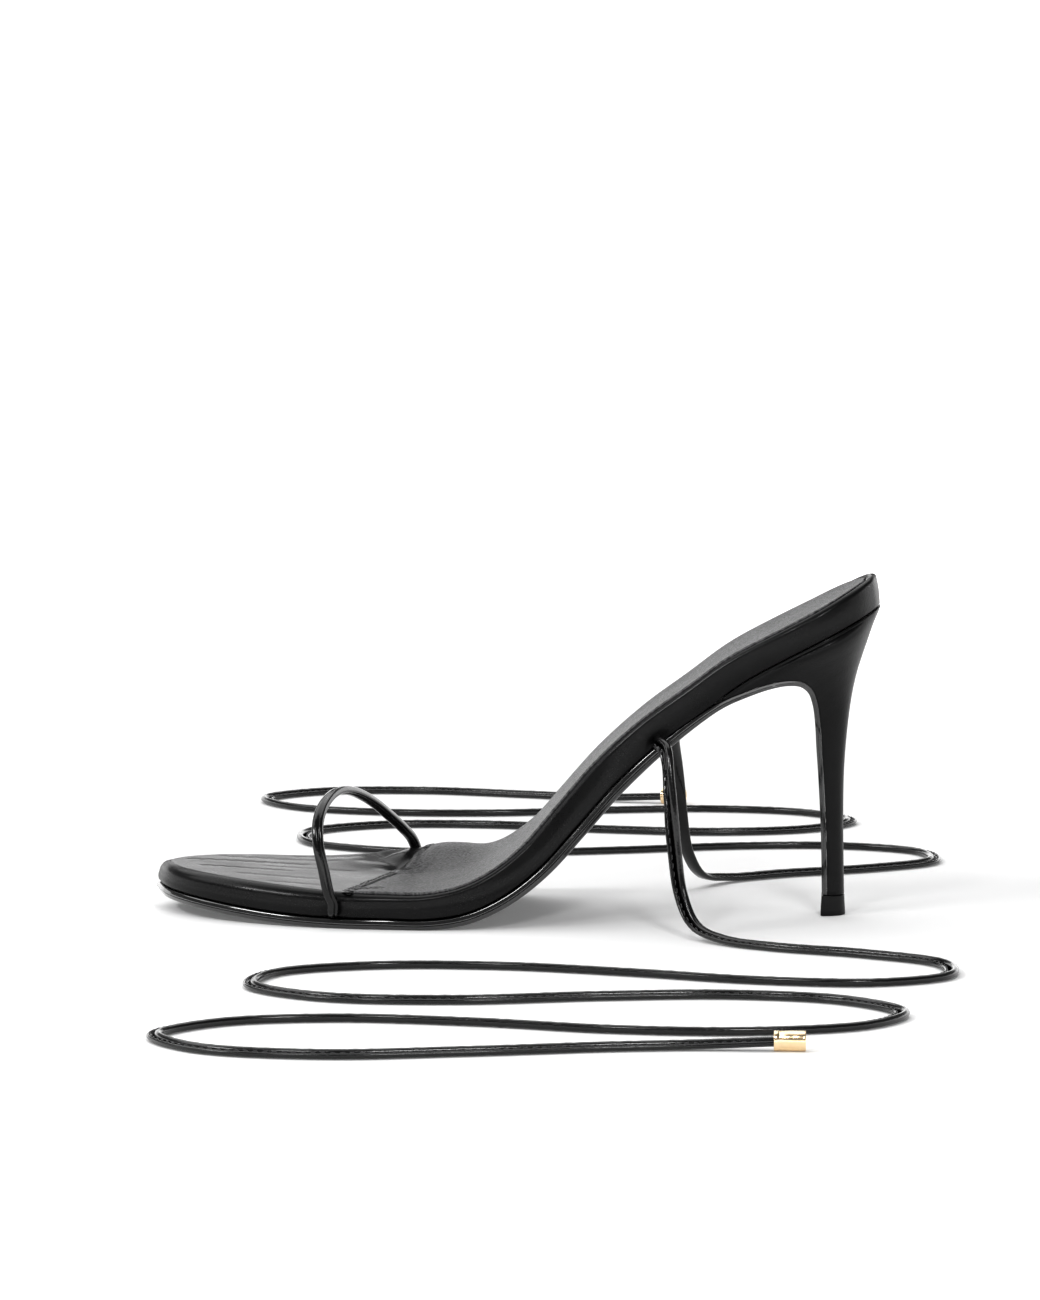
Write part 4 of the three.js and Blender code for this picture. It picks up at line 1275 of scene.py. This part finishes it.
def stage_paint(name, near_glow, far_glow):
    """White paint that glows by its distance from the shoe, as a backdrop lit from behind does."""
    paint = Nodes(name, Base_Color=(*[FLOOR_WHITE] * 3, 1), Roughness=0.9, Specular_IOR_Level=0.0)
    paint.shader.inputs["Emission Color"].default_value = (1, 1, 1, 1)
    place = paint.add("ShaderNodeTexCoord").outputs["Object"]
    distance = paint.add("ShaderNodeVectorMath")
    distance.operation = "LENGTH"
    paint.put(distance.inputs[0], place)
    glow = paint.span(distance.outputs["Value"], near_glow, far_glow, *GLOW_FROM_TO)
    paint.put(paint.shader.inputs["Emission Strength"], glow)
    return paint.material


def build_floor():
    profile = [(FLOOR_RADIUS, 0)]
    for turn in np.linspace(0, math.pi / 2, RIM_STEPS + 1)[1:]:
        profile.append(
            (FLOOR_RADIUS + RIM_RADIUS * math.sin(turn), RIM_RADIUS * (1 - math.cos(turn)))
        )
    profile.append((FLOOR_RADIUS + RIM_RADIUS, RIM_HEIGHT))
    turns = np.arange(FLOOR_SEGMENTS) / FLOOR_SEGMENTS * 2 * math.pi
    points = [(r * math.cos(t), r * math.sin(t), z) for r, z in profile for t in turns]
    faces = [tuple(range(FLOOR_SEGMENTS))]
    for ring in range(len(profile) - 1):
        base = ring * FLOOR_SEGMENTS
        for i in range(FLOOR_SEGMENTS):
            after = (i + 1) % FLOOR_SEGMENTS
            faces.append(
                (base + i, base + i + FLOOR_SEGMENTS, base + after + FLOOR_SEGMENTS, base + after)
            )
    mesh = bpy.data.meshes.new("floor")
    mesh.from_pydata(points, [], faces)
    mesh.materials.append(stage_paint("floor", NEAR_GLOW, FAR_GLOW))
    mesh.materials.append(stage_paint("rim", RIM_GLOW, RIM_GLOW))
    mesh.polygons.foreach_set("material_index", [min(i, 1) for i in range(len(faces))])
    floor = bpy.data.objects.new("floor", mesh)
    bpy.context.scene.collection.objects.link(floor)


# Name, place, aim, width and height in metres, power in watts
LIGHT_BOXES = [
    ("toe_box", (-1.2, -0.85, 1.25), (-0.08, -0.03, 0.01), (0.6, 0.25), 12),
    ("waist_box", (-0.42, -1.15, 1.44), (0, 0, 0.03), (0.2, 0.4), 5),
    ("ball_box", (0.4, -1.25, 1.2), (-0.02, -0.035, 0.01), (0.25, 0.25), 7),
    ("left_box", (-1.5, 0.1, 1.5), (0, 0, 0), (1.0, 1.0), 8),
]
SUN_POWER = 1.5
SUN_DEGREES = 62
SUN_WAY = Vector((0.1, -0.6, -1))


def area_light(name, location, target, size, power):
    data = bpy.data.lights.new(name, "AREA")
    data.shape = "RECTANGLE"
    data.size, data.size_y = size
    data.energy = power
    light = bpy.data.objects.new(name, data)
    light.location = location
    light.visible_camera = False
    way = Vector(target) - Vector(location)
    light.rotation_euler = way.to_track_quat("-Z", "Y").to_euler()
    bpy.context.scene.collection.objects.link(light)


build_floor()
sky_data = bpy.data.lights.new("overhead", "SUN")
sky_data.energy = SUN_POWER
sky_data.angle = math.radians(SUN_DEGREES)
sky = bpy.data.objects.new("overhead", sky_data)
sky.rotation_euler = SUN_WAY.to_track_quat("-Z", "Y").to_euler()
bpy.context.scene.collection.objects.link(sky)
for box in LIGHT_BOXES:
    area_light(*box)

world = bpy.data.worlds.new("world")
world.use_nodes = True
background = world.node_tree.nodes["Background"]
background.inputs["Color"].default_value = (1, 1, 1, 1)
background.inputs["Strength"].default_value = WORLD_WHITE
bpy.context.scene.world = world
bpy.context.scene.view_settings.view_transform = "Standard"
bpy.context.scene.view_settings.gamma = DISPLAY_GAMMA
